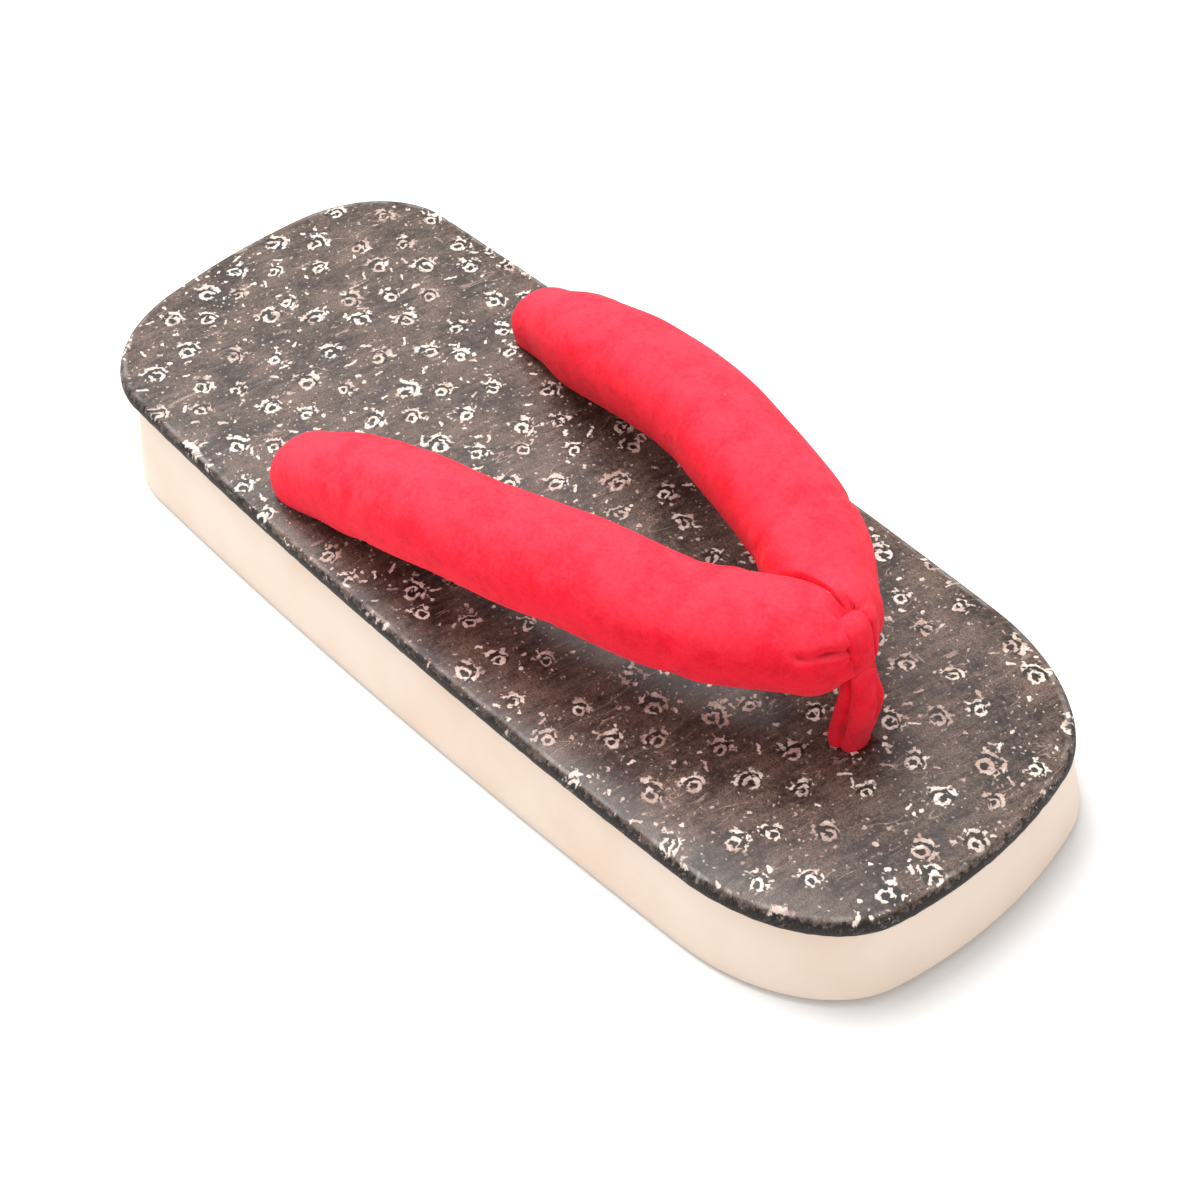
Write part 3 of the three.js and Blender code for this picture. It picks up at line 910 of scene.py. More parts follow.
@dataclass
class StrapHoles:
    """The three strap holes and the recesses for their knots, as one shape to cut with."""

    footprint: Footprint
    around: int = 48
    reach: float = 6.0
    cover_room: float = 3.3

    def corner(self, spot: tuple[float, float], radius: float, height: float, number: int) -> Vector:
        """Corner of a ring about a hole's middle."""
        angle = math.tau / self.around * number
        return Vector((spot[0] + radius * math.cos(angle), spot[1] + radius * math.sin(angle), height))

    def cutter(self) -> bpy.types.Object:
        """Makes the shape to cut with: per hole the recess, the foam's bore and the cover's tighter one."""
        sandal = self.footprint
        form = Form()
        for spot in sandal.holes():
            seam = sandal.sole_top(spot[0]) + sandal.clearance / 2.0
            levels = (
                (sandal.recess_radius, -self.reach),
                (sandal.recess_radius, sandal.recess_depth),
                (sandal.tail_room, sandal.recess_depth),
                (sandal.tail_room, seam),
                (self.cover_room, seam),
                (self.cover_room, sandal.heel_height + self.reach),
            )
            form.close(form.rows(self.around, [partial(self.corner, spot, *level) for level in levels]))
        return form.piece("strap_holes", None, bpy.data.materials.new("cut"))

    def cut(self, *pieces: bpy.types.Object) -> None:
        """Cuts the holes out of pieces."""
        cutter = self.cutter()
        for piece in pieces:
            with_modifier(piece, "BOOLEAN", object=cutter, operation="DIFFERENCE", solver="EXACT")
        take_out(cutter)


@dataclass
class Sole:
    """The moulded wedge sole."""

    footprint: Footprint
    finish: FoamFinish
    flare: float = 1.8
    tuck_heel: float = 2.8
    tuck_toe: float = 0.6
    edge_round: float = 1.5
    around: int = 288
    under_shares: tuple[float, ...] = (0.03, 0.15, 0.3, 0.45, 0.6, 0.72, 0.82, 0.9, 0.96, 1.0)
    round_steps: int = 4
    side_steps: int = 12
    side_top: float = 0.985
    top_inset: float = 0.3
    top_shares: tuple[float, ...] = (0.995, 0.97, 0.85, 0.65, 0.4, 0.03)

    def wall(self, angle: float, level: float, inward: float) -> Vector:
        """Point of the side wall at a share of its height, moved inward."""
        along = self.footprint.edge(angle, 0.0).x / self.footprint.length + 0.5
        tuck = blended(self.tuck_heel, self.tuck_toe, along)
        lean = round(blended(self.flare, -tuck, level) - inward, 2)
        spot = self.footprint.edge(angle, lean).copy()
        spot.z = blended(self.footprint.sole_bottom(spot.x), self.footprint.sole_top(spot.x), level)
        return spot

    def face(
        self, height: Callable[[float], float], level: float, inward: float, share: float, number: int
    ) -> Vector:
        """Corner of a ring of the upper face or the underside.

        Args:
            height: Tells the face's height at an x.
            level: Share of the side wall's height at which the face starts.
            inward: How far inside the wall it starts.
            share: Size of the ring as a share of the whole face.
            number: Number of the corner.

        Returns:
            The corner's place.
        """
        spot = self.wall(math.tau / self.around * number, level, inward) * share
        return Vector((spot.x, spot.y, height(spot.x)))

    def build(self) -> bpy.types.Object:
        """Makes the sole without its holes."""
        form = Form()
        turn = math.tau / self.around
        under = partial(self.face, self.footprint.sole_bottom, 0.0, self.edge_round)
        ring = form.rows(self.around, [partial(under, share) for share in self.under_shares])
        for step in range(1, self.round_steps + 1):
            turn_up = math.pi / 2.0 * step / self.round_steps
            inward = self.edge_round * (1.0 - math.sin(turn_up))
            lift = Vector((0.0, 0.0, self.edge_round * (1.0 - math.cos(turn_up))))
            ring = form.next_ring(ring, lambda number: self.wall(turn * number, 0.0, inward) + lift)
        for step in range(1, self.side_steps + 1):
            level = step / self.side_steps * self.side_top
            rise = Vector((0.0, 0.0, self.edge_round * (1.0 - level)))
            ring = form.next_ring(ring, lambda number: self.wall(turn * number, level, 0.0) + rise)
        over = partial(self.face, self.footprint.sole_top, 1.0, self.top_inset)
        for share in self.top_shares:
            ring = form.next_ring(ring, partial(over, share))
        form.close(ring)
        piece = form.piece("sole_body", Slot.SOLE, self.finish.build())
        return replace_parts(piece, "sole")


@dataclass
class FootbedCover:
    """The padded footbed cover: one thickness all over, its edge rounded and tucked under."""

    footprint: Footprint
    finish: PrintFinish
    edge_round: float = 2.0
    around: int = 640
    under_shares: tuple[float, ...] = (0.03, 0.3, 0.6, 0.85)
    edge_rows: tuple[tuple[float, float], ...] = (
        (0.55, 0.0),
        (0.30, 0.0),
        (0.12, 0.04),
        (0.0, 0.14),
        (-0.03, 0.3),
        (0.0, 0.46),
        (0.07, 0.6),
        (0.2, 0.73),
        (0.4, 0.845),
        (0.68, 0.93),
        (1.0, 0.98),
    )
    top_steps: int = 34
    roll: float = 0.42
    roll_reach: float = 3.2
    wave: float = 0.16
    wave_length: float = 19.0
    ragged: float = 0.5
    rag_scale: float = 0.45
    rag_height: float = 1.6
    under_gap: float = 0.05
    top_open: float = 0.6
    top_crowding: float = 1.25

    def outward(self, number: int) -> Vector:
        """Way out of the outline at a corner."""
        angle = math.tau / self.around * number
        return (self.footprint.edge(angle, 1.0) - self.footprint.edge(angle, 0.0)).normalized()

    def rim(self, number: int) -> Vector:
        """Corner of the line along which the upper face starts to turn down."""
        return self.footprint.edge(math.tau / self.around * number, -self.edge_round)

    def top_height(self, spot: Vector, edge_gap: float) -> float:
        """Height of the upper face: soft waves, and a roll down towards the edge."""
        wave = noise.noise(spot / self.wave_length) * self.wave
        roll = self.roll * math.exp(-edge_gap / self.roll_reach)
        return self.footprint.cover_top(spot.x) + wave - roll

    def under_corner(self, share: float, number: int) -> Vector:
        """Corner of a ring of the lower face."""
        spot = self.rim(number) * share
        return Vector((spot.x, spot.y, self.footprint.cover_bottom(spot.x)))

    def edge_corner(self, inset: float, level: float, number: int) -> Vector:
        """Corner of a ring of the wrapped edge, a little ragged where it is tucked under."""
        spot = self.footprint.edge(math.tau / self.around * number, round(-inset, 3)).copy()
        rag = noise.noise(spot * self.rag_scale) * self.ragged * max(1.0 - level / self.rag_height, 0.0)
        low = self.footprint.cover_bottom(spot.x) + self.under_gap + level + rag
        spot.z = min(low, self.top_height(spot, inset - self.edge_round))
        return spot

    def top_corner(self, share: float, number: int) -> Vector:
        """Corner of a ring of the upper face."""
        rim = self.rim(number)
        spot = rim * share
        spot.z = self.top_height(spot, (rim - spot).length)
        return spot

    def wrapped_rows(self) -> list[Point]:
        """Inset, level and way round the edge, counted from the upper face, of each row of the edge."""
        thick = self.footprint.cover_thickness
        rows = [(inset * self.edge_round, level * thick) for inset, level in self.edge_rows]
        reaches = [0.0]
        for before, after in zip(reversed(rows), list(reversed(rows))[1:]):
            reaches.append(reaches[-1] + math.dist(before, after))
        return [(*row, reach) for row, reach in zip(rows, reversed(reaches))]

    def build(self) -> bpy.types.Object:
        """Makes the cover without its holes, with maps of where each place lay on the flat sheet."""
        form = Form()
        sheet = form.mesh.verts.layers.float_vector.new("sheet")
        wrap = form.mesh.verts.layers.float.new("wrap")
        ring = form.rows(self.around, [partial(self.under_corner, share) for share in self.under_shares])
        for inset, level, reach in self.wrapped_rows():
            ring = form.next_ring(ring, partial(self.edge_corner, inset, level))
            for number, corner in enumerate(ring):
                corner[sheet] = self.rim(number) + self.outward(number) * reach
                corner[wrap] = reach
        for step in range(1, self.top_steps + 1):
            share = 1.0 - (step / (self.top_steps + self.top_open)) ** self.top_crowding
            ring = form.next_ring(ring, partial(self.top_corner, share))
            for corner in ring:
                corner[sheet] = Vector((corner.co.x, corner.co.y, 0.0))
        form.close(ring)
        layer = form.mesh.loops.layers.uv.new(SHEET_MAP)
        edge = form.mesh.loops.layers.uv.new(EDGE_MAP)
        for face in form.mesh.faces:
            for loop in face.loops:
                loop[layer].uv = loop.vert[sheet].xy / SHEET_UNIT
                loop[edge].uv = (loop.vert[wrap] / SHEET_UNIT, 0.0)
        piece = form.piece("cover_sheet", Slot.COVER, self.finish.build(), sharp=60.0)
        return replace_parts(piece, "footbed_cover")


@dataclass(frozen=True)
class Crease:
    """A soft trough with low ridges beside it, set on a padded piece.

    Its reach and the place of its ridges count in widths, and the painted shade line's width as a share of
    one.
    """

    points: tuple[Point, ...]
    depth: float
    width: float
    # strength of the painted shade along the trough
    painted_shade: float = 0.6
    ridge: float = 0.25
    taper: float = 0.18
    reach: float = 3.6
    ridge_place: float = 2.1
    painted_shade_width: float = 0.75

    def press(self, mesh: bmesh.types.BMesh) -> None:
        """Presses the crease into a mesh along its normals, and paints its shade into the mesh's crease shade
        layer.
        """
        path = SmoothPath(self.points, steps=6)
        reach = self.width * self.reach
        low = [min(point[axis] for point in self.points) - reach for axis in range(3)]
        high = [max(point[axis] for point in self.points) + reach for axis in range(3)]
        mesh.normal_update()
        crease_shade = mesh.verts.layers.float.get(CREASE_SHADE_MAP) or mesh.verts.layers.float.new(CREASE_SHADE_MAP)
        moves = []
        for corner in mesh.verts:
            if any(not low[axis] < corner.co[axis] < high[axis] for axis in range(3)):
                continue
            gap, share = path.nearest(corner.co)
            if gap > reach:
                continue
            fade = eased(share / self.taper) * eased((1.0 - share) / self.taper)
            trough = math.exp(-((gap / self.width) ** 2))
            ridge = self.ridge * math.exp(-(((gap - self.ridge_place * self.width) / self.width) ** 2))
            moves.append((corner, corner.normal * (self.depth * fade * (ridge - trough))))
            # painted shade: stored along the trough for the velvet's colour
            painted_shade = self.painted_shade * fade * math.exp(-((gap / self.width / self.painted_shade_width) ** 2))
            corner[crease_shade] = max(corner[crease_shade], painted_shade)
        for corner, move in moves:
            corner.co += move


@dataclass(frozen=True)
class Padding:
    """Cloth simulation in which the padding presses a closed form out from inside."""

    pressure: float = 4.0
    last_frame: int = 20
    cap: float = 0.5
    copy_scale: float = 0.01
    merge: float = 0.12
    mass: float = 0.3
    bending: float = 0.5
    shrink: float = -0.02

    def press(self, form: Form, held: Callable[[Vector], float]) -> None:
        """Simulates a copy and moves the form's points by what it shows, no further than the cap.

        Args:
            form: The form, in millimetres.
            held: Tells how firmly a point stays where it is, from 0 to 1.
        """
        bmesh.ops.remove_doubles(form.mesh, verts=form.mesh.verts, dist=self.merge)
        bmesh.ops.dissolve_degenerate(form.mesh, edges=form.mesh.edges, dist=self.merge / 2.0)
        data = bpy.data.meshes.new("pressed")
        form.mesh.to_mesh(data)
        data.transform(Matrix.Scale(self.copy_scale, 4))
        cloth = placed("pressed", data)
        firm = [held(corner.co) for corner in form.mesh.verts]
        group = cloth.vertex_groups.new(name="held")
        for number, share in enumerate(firm):
            group.add([number], share, "REPLACE")
        modifier = cloth.modifiers.new("Cloth", "CLOTH")
        settings = modifier.settings
        settings.mass = self.mass
        settings.bending_stiffness = self.bending
        settings.vertex_group_mass = group.name
        settings.use_pressure = True
        settings.uniform_pressure_force = self.pressure
        settings.shrink_min = self.shrink
        settings.effector_weights.gravity = 0.0
        scene = bpy.context.scene
        for number in range(1, self.last_frame + 1):
            scene.frame_set(number)
        pressed = cloth.evaluated_get(bpy.context.evaluated_depsgraph_get()).data
        spots = [vertex.co / self.copy_scale for vertex in pressed.vertices]
        for corner, spot, share in zip(form.mesh.verts, spots, firm):
            move = spot - corner.co
            reach = self.cap * math.tanh(move.length / self.cap) * (1.0 - share)
            corner.co += move.normalized() * reach
        take_out(cloth)
        scene.frame_set(1)


@dataclass
class TailKnot:
    """A plain overhand knot in a strap's tail, drawn up into its recess under the sole."""

    spot: tuple[float, float]
    turn: float = 0.0
    reach: float = 3.5
    core: float = 0.66
    lobe: float = 0.34
    cord: float = 1.75
    lift: float = 1.15
    low: float = 5.3
    steps: int = 96
    around: int = 14
    turn_step: float = 0.02

    def place(self, angle: float) -> Vector:
        """Point of the knot's line."""
        out = self.reach * (self.core + self.lobe * math.cos(3.0 * angle))
        x = self.spot[0] + out * math.cos(2.0 * angle + self.turn)
        y = self.spot[1] + out * math.sin(2.0 * angle + self.turn)
        return Vector((x, y, self.low + self.lift * math.sin(3.0 * angle)))

    def ring(self, angle: float) -> Ring:
        """Ring of the knot's cord at an angle of its line."""
        ahead = (self.place(angle + self.turn_step) - self.place(angle - self.turn_step)).normalized()
        across = sideways(ahead)
        return Ring(self.place(angle), across, ahead.cross(across), self.cord, self.cord, 2.0)

    def lay(self, form: Form) -> None:
        """Adds the knot to a form as a closed loop of cord."""
        rings = [self.ring(math.tau * step / self.steps) for step in range(self.steps)]
        made = form.sweep(rings, self.around)
        bmesh.ops.bridge_loops(form.mesh, edges=form.edges_round(made[0]) + form.edges_round(made[-1]))


@dataclass(frozen=True)
class Band:
    """The toe loop's outer run over the joint, which the straps yield to."""

    line: tuple[Point, ...] = (
        (87.9, -0.1, 44.6),
        (87.5, -0.1, 48.5),
        (87.1, 0.0, 52.4),
        (86.2, 0.2, 55.2),
        (84.9, 0.2, 56.4),
        (83.5, 0.1, 56.4),
        (82.8, 0.0, 54.4),
    )
    low_x: float = 79.0
    low_z: float = 44.0
    half_width: float = 3.05
    margin: float = 1.1
    far: float = 9.0
    seat: float = 1.15
    seat_width: float = 0.76
    seat_round: float = 0.8
    seat_near: Fade = Fade(5.0, -1.0)
    shoulder: tuple[float, float] = (-0.76, -0.55)
    shoulder_reach: float = 1.5
    shoulder_rise: Fade = Fade(0.76, 0.12)
    shoulder_near: Fade = Fade(4.0, -2.0)
    first_taper: float = 0.2
    last_taper: float = 0.1

    def fitted(self, spot: Vector) -> Vector:
        """A point of a strap, moved in under the band, or out beside it so that the band lies flush."""
        widest = self.half_width * (self.margin + self.shoulder_reach)
        if spot.x < self.low_x or abs(spot.y) > widest or spot.z < self.low_z:
            return spot
        path = self.path()
        gap, share = path.nearest(spot)
        if gap > self.far or not 0.0 < share < 1.0:
            return spot
        inward = path.ahead(share).cross(Vector((0.0, 1.0, 0.0)))
        middle = path.at(share)
        beside = abs(spot.y - middle.y) / self.half_width
        depth = (spot - middle).dot(inward)
        if beside < self.seat_width:
            want = self.seat * (1.0 - (beside / self.seat_round) ** 3)
            return spot + inward * max(want - depth, 0.0) * self.seat_near.at(gap)
        ends = eased(share / self.first_taper) * eased((1.0 - share) / self.last_taper)
        fade = 1.0 - eased((beside - 1.0) / self.shoulder_reach)
        lift = max(depth - self.shoulder[spot.y > 0.0], 0.0) * ends * self.shoulder_near.at(depth) * fade
        return spot - inward * (lift * self.shoulder_rise.at(beside))

    @lru_cache(maxsize=None)
    def path(self) -> SmoothPath:
        """The run's middle line."""
        return SmoothPath(self.line, steps=6)


@dataclass(frozen=True)
class Joint:
    """The upright face between the two straps: it leans a little and leaves a slot for the toe loop."""

    start: float = 40.0
    half_gap: float = 0.036
    softness: float = 0.12
    lean: float = 0.2
    lean_height: float = 51.0
    lean_fade: Fade = Fade(84.0, -6.0)
    slot_x: float = 83.2
    slot_length: tuple[float, float] = (0.9, 2.4)
    slot_half: float = 0.5

    def kept(self, spot: Vector, side: Side) -> float:
        """Sideways place of a strap's point, kept on its own side of the joint."""
        if spot.x <= self.start:
            return spot.y
        length = self.slot_length[spot.x > self.slot_x]
        room = self.slot_half * math.exp(-(((spot.x - self.slot_x) / length) ** 2))
        gap = self.half_gap + room
        lean = self.lean * soft_above(spot.z - self.lean_height, 1.0) * self.lean_fade.at(spot.x)
        past = side.value * (spot.y - lean) - gap
        return lean + side.value * (gap + soft_above(past, self.softness))


@dataclass(frozen=True)
class Grip:
    """How firmly the straps' points stay where they are while the padding presses."""

    root: Fade = Fade(-6.0, -34.0)
    cover_height: float = 1.4
    cover_fade: float = 1.2
    seam: Fade = Fade(3.6, -3.0)
    seam_start: Fade = Fade(50.0, 8.0)
    tip: Fade = Fade(58.0, 19.0)

    def at(self, footprint: Footprint, spot: Vector) -> float:
        """Firmness at a point: highest at the root, on the cover, along the joint and at the tip."""
        low = eased((footprint.cover_top(spot.x) + self.cover_height - spot.z) / self.cover_fade)
        seam = self.seam.at(abs(spot.y)) * self.seam_start.at(spot.x)
        return max(self.root.at(spot.x), low, seam, self.tip.at(spot.x))


@dataclass
class Straps:
    """The two padded velvet straps, joined between the toes, with their tails and knots."""

    footprint: Footprint
    velvet: bpy.types.Material
    band: Band
    joint: Joint = Joint()
    grip: Grip = Grip()
    width: float = 21.8
    thickness: float = 20.8
    rise: float = 24.9
    power: float = 2.15
    joint_x: float = 77.6
    end_length: float = 9.0
    end_open: float = 0.35
    tail_radius: float = 3.7
    tail_low: tuple[tuple[float, float], ...] = ((5.0, 2.2), (6.5, 3.2), (9.0, 3.7))
    tail_high: tuple[tuple[float, float], ...] = ((6.0, 3.7), (0.9, 3.5))
    foot_shares: tuple[float, ...] = (0.5, 0.75, 0.93)
    foot_lift: float = 0.15
    around: int = 56
    knee_steps: int = 8
    root_tuck: float = 0.82
    tuck_ease: float = 1.6
    steps: int = 84
    crowding: float = 1.2
    end_steps: int = 12
    line: tuple[Point, ...] = (
        (0.05, 0.965, 0.31),
        (0.17, 0.91, 0.54),
        (0.332, 0.853, 0.767),
        (0.5, 0.77, 0.9),
        (0.636, 0.647, 0.964),
        (0.85, 0.425, 0.975),
        (1.0, 0.09, 1.0),
    )
    girth: list[Girth] = field(
        default_factory=lambda: [
            Girth(0.0, 0.8, 0.8),
            Girth(0.12, 0.93, 0.95),
            Girth(0.3, 1.0, 1.0),
            Girth(0.75, 1.02, 1.01),
            Girth(1.0, 0.98, 0.98),
        ]
    )
    left_root: float = 0.91
    left_low: float = 1.1
    left_low_at: tuple[float, float] = (0.28, 0.2)
    root_share: float = 0.16
    left_tip: float = 0.87
    tip_share: float = 0.16
    root_sag: float = 0.27
    root_sag_fade: Fade = Fade(0.46, -0.42)
    stuffing: float = 0.22
    stuffing_length: float = 13.0
    stuffing_height: float = 4.0
    cover_touch: float = 0.12
    cover_end: float = 60.0
    cover_softness: float = 0.35
    tail_margin: float = 0.6
    end_power_wide: tuple[float, float] = (1.25, 2.1)
    end_power_high: float = 0.62
    knot_turn: float = 0.7

    def hole(self, side: Side, height: float = 0.0) -> Vector:
        """Middle of a strap's hole at a height."""
        x, y = self.footprint.rear_hole
        return Vector((x, side.value * y, height))

    def path(self, side: Side) -> SmoothPath:
        """Middle line of a strap from its root to the joint."""
        hole_x, hole_y = self.footprint.rear_hole
        low_at, low_width = self.left_low_at
        points = []
        for along, out, rise in self.line:
            x = blended(hole_x, self.joint_x, along)
            z = self.footprint.cover_top(x) + rise * self.rise
            if side is Side.LEFT:
                z -= self.left_low * math.exp(-(((along - low_at) / low_width) ** 2))
            points.append((x, side.value * out * hole_y, z))
        return SmoothPath(points)

    def ring(self, path: SmoothPath, share: float) -> Ring:
        """Ring of a strap at a share of its line."""
        ahead = path.ahead(share)
        across = sideways(ahead)
        width, height = Girth.along(self.girth, share)
        if path.at(1.0).y > 0.0:
            slim = blended(self.left_root, 1.0, eased(share / self.root_share))
            width, height = width * slim, height * slim
            width *= blended(1.0, self.left_tip, eased((share - 1.0) / self.tip_share + 1.0))
        half = (width * self.width / 2.0, height * self.thickness / 2.0)
        sag = self.root_sag * self.root_sag_fade.at(share)
        return Ring(path.at(share), across, ahead.cross(across), *half, self.power, sag)

    def knee(self, first: Ring, tilt: float) -> list[Ring]:
        """Rings that turn about the foot of the first ring until they lie on the cover."""
        foot = first.middle - first.over * first.half_height
        rings = []
        for step in range(self.knee_steps):
            back = Matrix.Rotation(-tilt * (1.0 - step / self.knee_steps), 3, first.across)
            over = back @ first.over
            tuck = blended(self.root_tuck, 1.0, eased(self.tuck_ease * step / self.knee_steps))
            half = (first.half_width * tuck, first.half_height * tuck)
            sag = first.sag * step / self.knee_steps
            rings.append(Ring(foot + over * first.half_height, first.across, over, *half, sag=sag))
        return rings

    def rings(self, side: Side) -> list[Ring]:
        """All rings of a strap, from the tail under the sole to the rounded end in the joint."""
        path = self.path(side)
        first = self.ring(path, 0.0)
        tilt = math.pi / 2.0 - math.asin(path.ahead(0.0).z)
        knee = self.knee(first, tilt)
        base = knee[0]
        hole = self.hole(side)
        floor = self.footprint.cover_top(hole.x)
        tail = [*self.tail_low, *((floor - depth, radius) for depth, radius in self.tail_high)]
        rings = []
        for height, radius in tail:
            rings.append(Ring(self.hole(side, height), base.across, base.over, radius, radius, 2.0))
        for share in self.foot_shares:
            middle = hole.lerp(base.middle, share)
            middle.z = floor + self.foot_lift
            half = (base.half_width * share, base.half_height * share)
            rings.append(Ring(middle, base.across, base.over, *half))
        rings.extend(knee)
        for step in range(self.steps + 1):
            rings.append(self.ring(path, 1.0 - (1.0 - step / self.steps) ** self.crowding))
        last = rings[-1]
        ahead = path.ahead(1.0)
        for step in range(1, self.end_steps + 1):
            turn = math.pi / 2.0 * step / (self.end_steps + self.end_open)
            wide = last.half_width * math.cos(turn) ** self.end_power_wide[side is Side.LEFT]
            high = last.half_height * math.cos(turn) ** self.end_power_high
            middle = last.middle + ahead * (self.end_length * math.sin(turn))
            rings.append(Ring(middle, last.across, last.over, wide, high, self.power))
        return rings

    def settled(self, spot: Vector, side: Side) -> Vector:
        """A point of a strap, kept off the cover and on its own side of the joint."""
        beside_tail = (spot - self.hole(side, spot.z)).length > self.tail_radius + self.tail_margin
        if beside_tail and spot.x < self.cover_end:
            floor = self.footprint.cover_top(spot.x) + self.cover_touch
            spot.z = floor + soft_above(spot.z - floor, self.cover_softness)
        spot.y = self.joint.kept(spot, side)
        return spot

    def build(self) -> bpy.types.Object:
        """Makes both straps as one piece."""
        form = Form()
        for side in Side:
            made = form.tube(self.rings(side), self.around)
            for ring in made[len(self.tail_low) + len(self.tail_high) :]:
                for corner in ring:
                    corner.co = self.settled(corner.co.copy(), side)
        form.outward()
        Padding().press(form, partial(self.grip.at, self.footprint))
        form.refine()
        form.mesh.normal_update()
        for corner in form.mesh.verts:
            above = corner.co.z - self.footprint.cover_top(corner.co.x)
            swell = noise.noise(corner.co / self.stuffing_length) * self.stuffing
            swell *= eased(above / self.stuffing_height)
            corner.co = self.band.fitted(corner.co + corner.normal * swell)
        for crease in self.creases():
            crease.press(form.mesh)
        for side in Side:
            x, y, _ = self.hole(side)
            TailKnot((x, y), turn=self.knot_turn * side.value).lay(form)
        piece = form.piece("velvet_straps", Slot.VELVET, self.velvet, sharp=180.0)
        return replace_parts(piece, "straps")

    def creases(self) -> list[Crease]:
        """The main creases: beside the band and in its slot, and the puckers that run to it."""
        edge = Crease(
            ((87.0, -2.7, 55.0), (87.4, -2.8, 52.8), (87.6, -2.9, 50.4)),
            depth=0.8,
            width=0.7,
            painted_shade=1.0,
            ridge=0.0,
            taper=0.3,
        )
        near_upper = Crease(
            ((81.2, -12.2, 54.8), (83.4, -10.2, 54.1), (85.6, -7.0, 54.3), (87.6, -2.4, 53.4)),
            depth=0.9,
            width=0.8,
            painted_shade=0.7,
            ridge=0.08,
        )
        near_lower = Crease(
            ((84.4, -9.4, 48.2), (85.6, -7.4, 49.5), (86.5, -5.6, 50.2), (87.6, -2.6, 51.6)),
            depth=0.9,
            width=0.8,
            painted_shade=0.65,
            ridge=0.08,
        )
        slot = Crease(
            ((82.3, -1.9, 58.0), (82.1, 0.0, 57.6), (82.2, 1.7, 58.0)),
            depth=0.4,
            width=0.5,
            painted_shade=0.8,
            ridge=0.0,
        )
        far_upper = Crease(
            ((79.0, 10.0, 55.2), (82.6, 6.6, 54.6), (85.6, 3.4, 53.8)),
            depth=0.4,
            width=1.2,
            painted_shade=0.0,
            taper=0.4,
        )
        return [edge, near_upper, near_lower, slot, far_upper]


@dataclass
class ToeLoop:
    """The folded velvet loop: up from the front hole, over the joint, into it and back down behind itself."""

    footprint: Footprint
    velvet: bpy.types.Material
    band: Band
    around: int = 40
    steps: int = 170
    power: float = 2.3
    half_width: float = 3.8
    half_thickness: float = 2.0
    knot_turn: float = 0.3
    front: tuple[Point, ...] = (
        (86.3, 0.0, 7.0),
        (86.3, 0.0, 15.0),
        (86.0, -0.2, 22.0),
        (86.0, -0.3, 25.5),
        (87.4, -0.2, 31.5),
        (88.5, 0.0, 38.2),
    )
    rear: tuple[Point, ...] = (
        (82.8, 0.0, 51.5),
        (83.3, 0.0, 47.6),
        (84.6, 0.0, 43.8),
        (85.1, 0.0, 39.5),
        (84.4, -0.3, 33.0),
        (83.4, -0.8, 27.0),
        (83.5, -0.7, 22.5),
        (83.25, 0.0, 15.0),
        (83.25, 0.0, 7.0),
    )
    girth: list[Girth] = field(
        default_factory=lambda: [
            Girth(0.0, 0.7, 0.8),
            Girth(0.135, 0.76, 0.9),
            Girth(0.17, 0.9, 1.0),
            Girth(0.25, 0.98, 1.04),
            Girth(0.31, 0.96, 1.06),
            Girth(0.35, 0.8, 0.84),
            Girth(0.385, 0.77, 0.66),
            Girth(0.46, 0.78, 0.6),
            Girth(0.505, 0.82, 0.48),
            Girth(0.535, 0.78, 0.4),
            Girth(0.56, 0.3, 0.45),
            Girth(0.62, 0.24, 0.6),
            Girth(0.67, 0.8, 0.9),
            Girth(0.75, 1.0, 1.0),
            Girth(0.83, 0.98, 1.0),
            Girth(0.865, 0.76, 0.88),
            Girth(1.0, 0.7, 0.8),
        ]
    )

    def build(self) -> bpy.types.Object:
        """Makes the loop with its two strands and its knot."""
        form = Form()
        path = SmoothPath([*self.front, *self.band.line, *self.rear])
        across = Vector((0.0, 1.0, 0.0))
        rings = []
        for step in range(self.steps + 1):
            share = step / self.steps
            width, height = Girth.along(self.girth, share)
            half = (width * self.half_width, height * self.half_thickness)
            rings.append(Ring(path.at(share), across, path.ahead(share).cross(across), *half, self.power))
        form.tube(rings, self.around)
        form.outward()
        form.refine()
        for crease in self.creases():
            crease.press(form.mesh)
        TailKnot((self.footprint.front_hole_x, 0.0), turn=self.knot_turn).lay(form)
        piece = form.piece("velvet_toe_loop", Slot.VELVET, self.velvet, sharp=180.0)
        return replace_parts(piece, "toe_loop")

    def creases(self) -> list[Crease]:
        """The folds gathered at the loop's waist and the long folds down its front strand."""
        waist = Crease(
            (
                (87.6, -3.2, 45.4),
                (88.8, -1.9, 47.0),
                (89.3, -0.2, 47.4),
                (89.2, 1.6, 46.6),
                (88.4, 2.8, 45.2),
            ),
            depth=0.65,
            width=0.8,
            painted_shade=0.32,
            ridge=0.1,
        )
        front = Crease(
            ((89.8, 0.9, 45.6), (90.5, 1.3, 41.0), (90.3, 1.5, 36.0), (89.3, 1.4, 30.0)),
            depth=0.6,
            width=0.8,
            painted_shade=0.25,
            taper=0.3,
        )
        between = Crease(
            ((87.1, -3.8, 44.5), (87.2, -3.8, 40.0), (86.6, -3.7, 34.0), (85.4, -3.6, 27.0)),
            depth=0.25,
            width=0.7,
            painted_shade=0.7,
            taper=0.12,
        )
        return [waist, front, between]


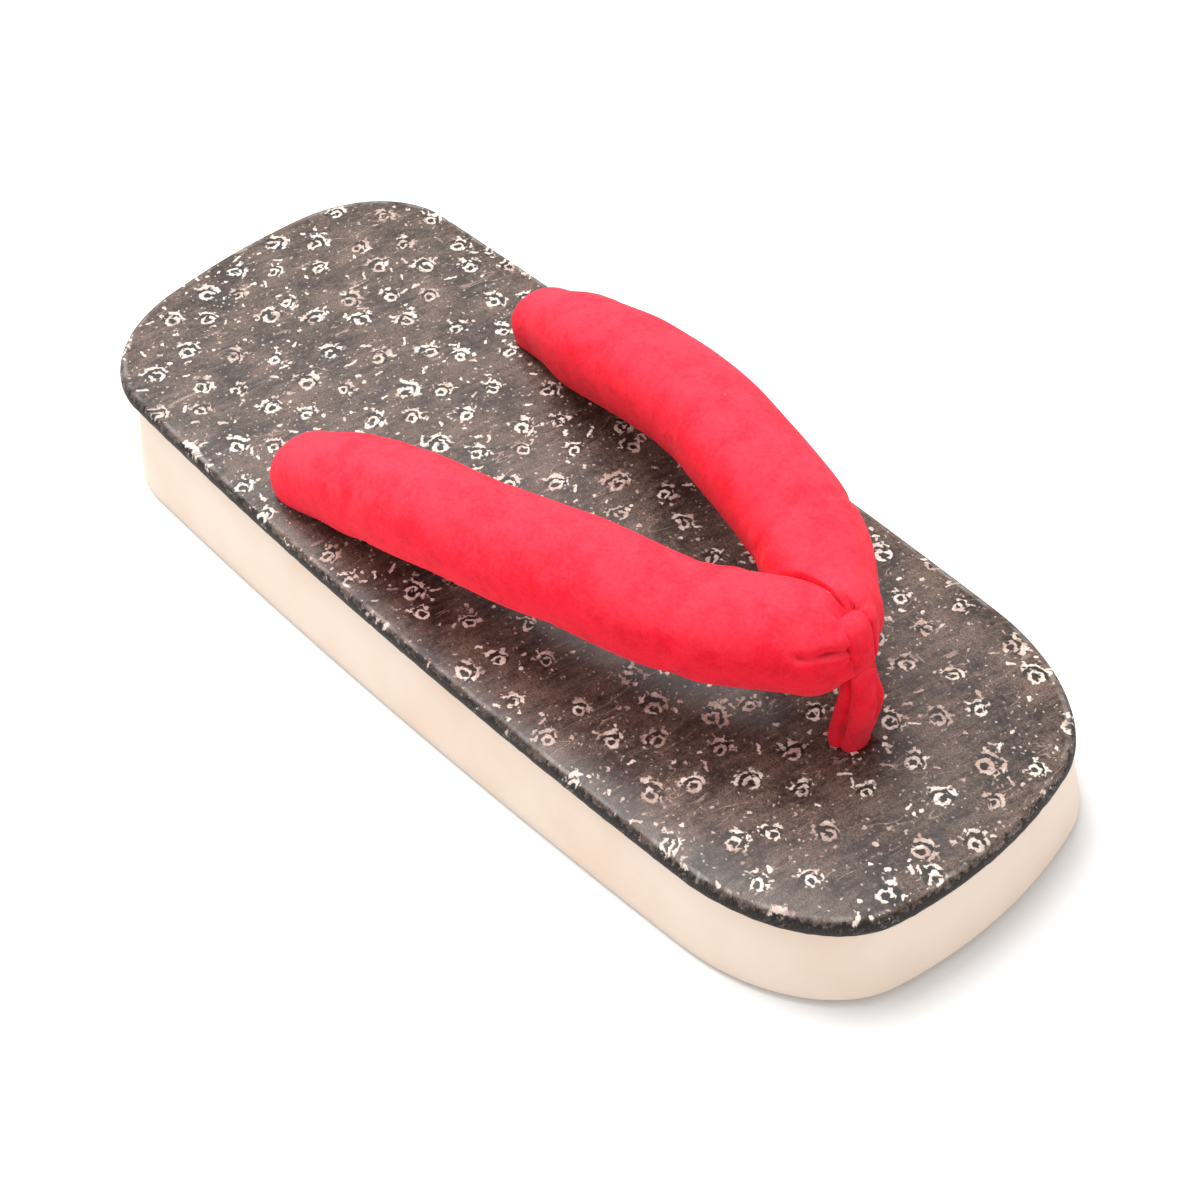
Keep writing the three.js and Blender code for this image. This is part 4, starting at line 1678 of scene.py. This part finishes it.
@dataclass
class Studio:
    """Plain pale floor, soft light and the camera."""

    eye: Point = (261.1, -182.0, 338.9)
    aim: Point = (23.74, -9.96, 25.0)
    roll: float = -7.97
    lens: float = 63.24
    sensor: float = 36.0
    near_clip: float = 0.01
    floor_half: float = 6000.0
    world_light: float = 0.8
    key_spot: Point = (-380.0, 60.0, 1000.0)
    key_size: float = 700.0
    key_power: float = 13.0

    def floor(self) -> None:
        """Lays the floor."""
        form = Form()
        bmesh.ops.create_grid(form.mesh, x_segments=4, y_segments=4, size=self.floor_half)
        piece = form.piece("floor", None, FloorFinish().build())

    def camera(self) -> None:
        """Sets the camera where the photograph was taken from, aimed at this one sandal."""
        data = bpy.data.cameras.new("camera")
        data.lens = self.lens
        data.sensor_width = self.sensor
        data.clip_start = self.near_clip
        made = placed("camera", data)
        eye = Vector(self.eye) * METRE
        way = Vector(self.aim) * METRE - eye
        turn = way.to_track_quat("-Z", "Y").to_matrix().to_4x4()
        made.matrix_world = Matrix.Translation(eye) @ turn @ Matrix.Rotation(math.radians(self.roll), 4, "Z")
        bpy.context.scene.camera = made

    def lamp(self) -> None:
        """Hangs the one large soft light, turned to the sandal."""
        data = bpy.data.lights.new("key", "AREA")
        data.shape = "SQUARE"
        data.size = self.key_size * METRE
        data.energy = self.key_power
        made = placed("key", data)
        spot = Vector(self.key_spot) * METRE
        turn = (-spot).to_track_quat("-Z", "Y").to_matrix().to_4x4()
        made.matrix_world = Matrix.Translation(spot) @ turn

    def build(self) -> None:
        """Makes the whole studio."""
        self.floor()
        self.camera()
        self.lamp()
        world = bpy.data.worlds.new("studio")
        world.use_nodes = True
        sky = world.node_tree.nodes["Background"]
        sky.inputs["Color"].default_value = (1.0, 1.0, 1.0, 1.0)
        sky.inputs["Strength"].default_value = self.world_light
        bpy.context.scene.world = world
        bpy.context.scene.view_settings.view_transform = "Standard"


def main() -> None:
    """Builds the sandal piece by piece, then the studio round it."""
    logging.basicConfig(level=logging.INFO, format="%(name)s %(message)s")
    footprint = Footprint()
    sole = Sole(footprint, FoamFinish()).build()
    cover = FootbedCover(footprint, PrintFinish()).build()
    StrapHoles(footprint).cut(sole, cover)
    log.info("holes cut")
    velvet = VelvetFinish().build()
    band = Band()
    Straps(footprint, velvet, band).build()
    ToeLoop(footprint, velvet, band).build()
    Studio().build()


if __name__ == "__main__":
    main()
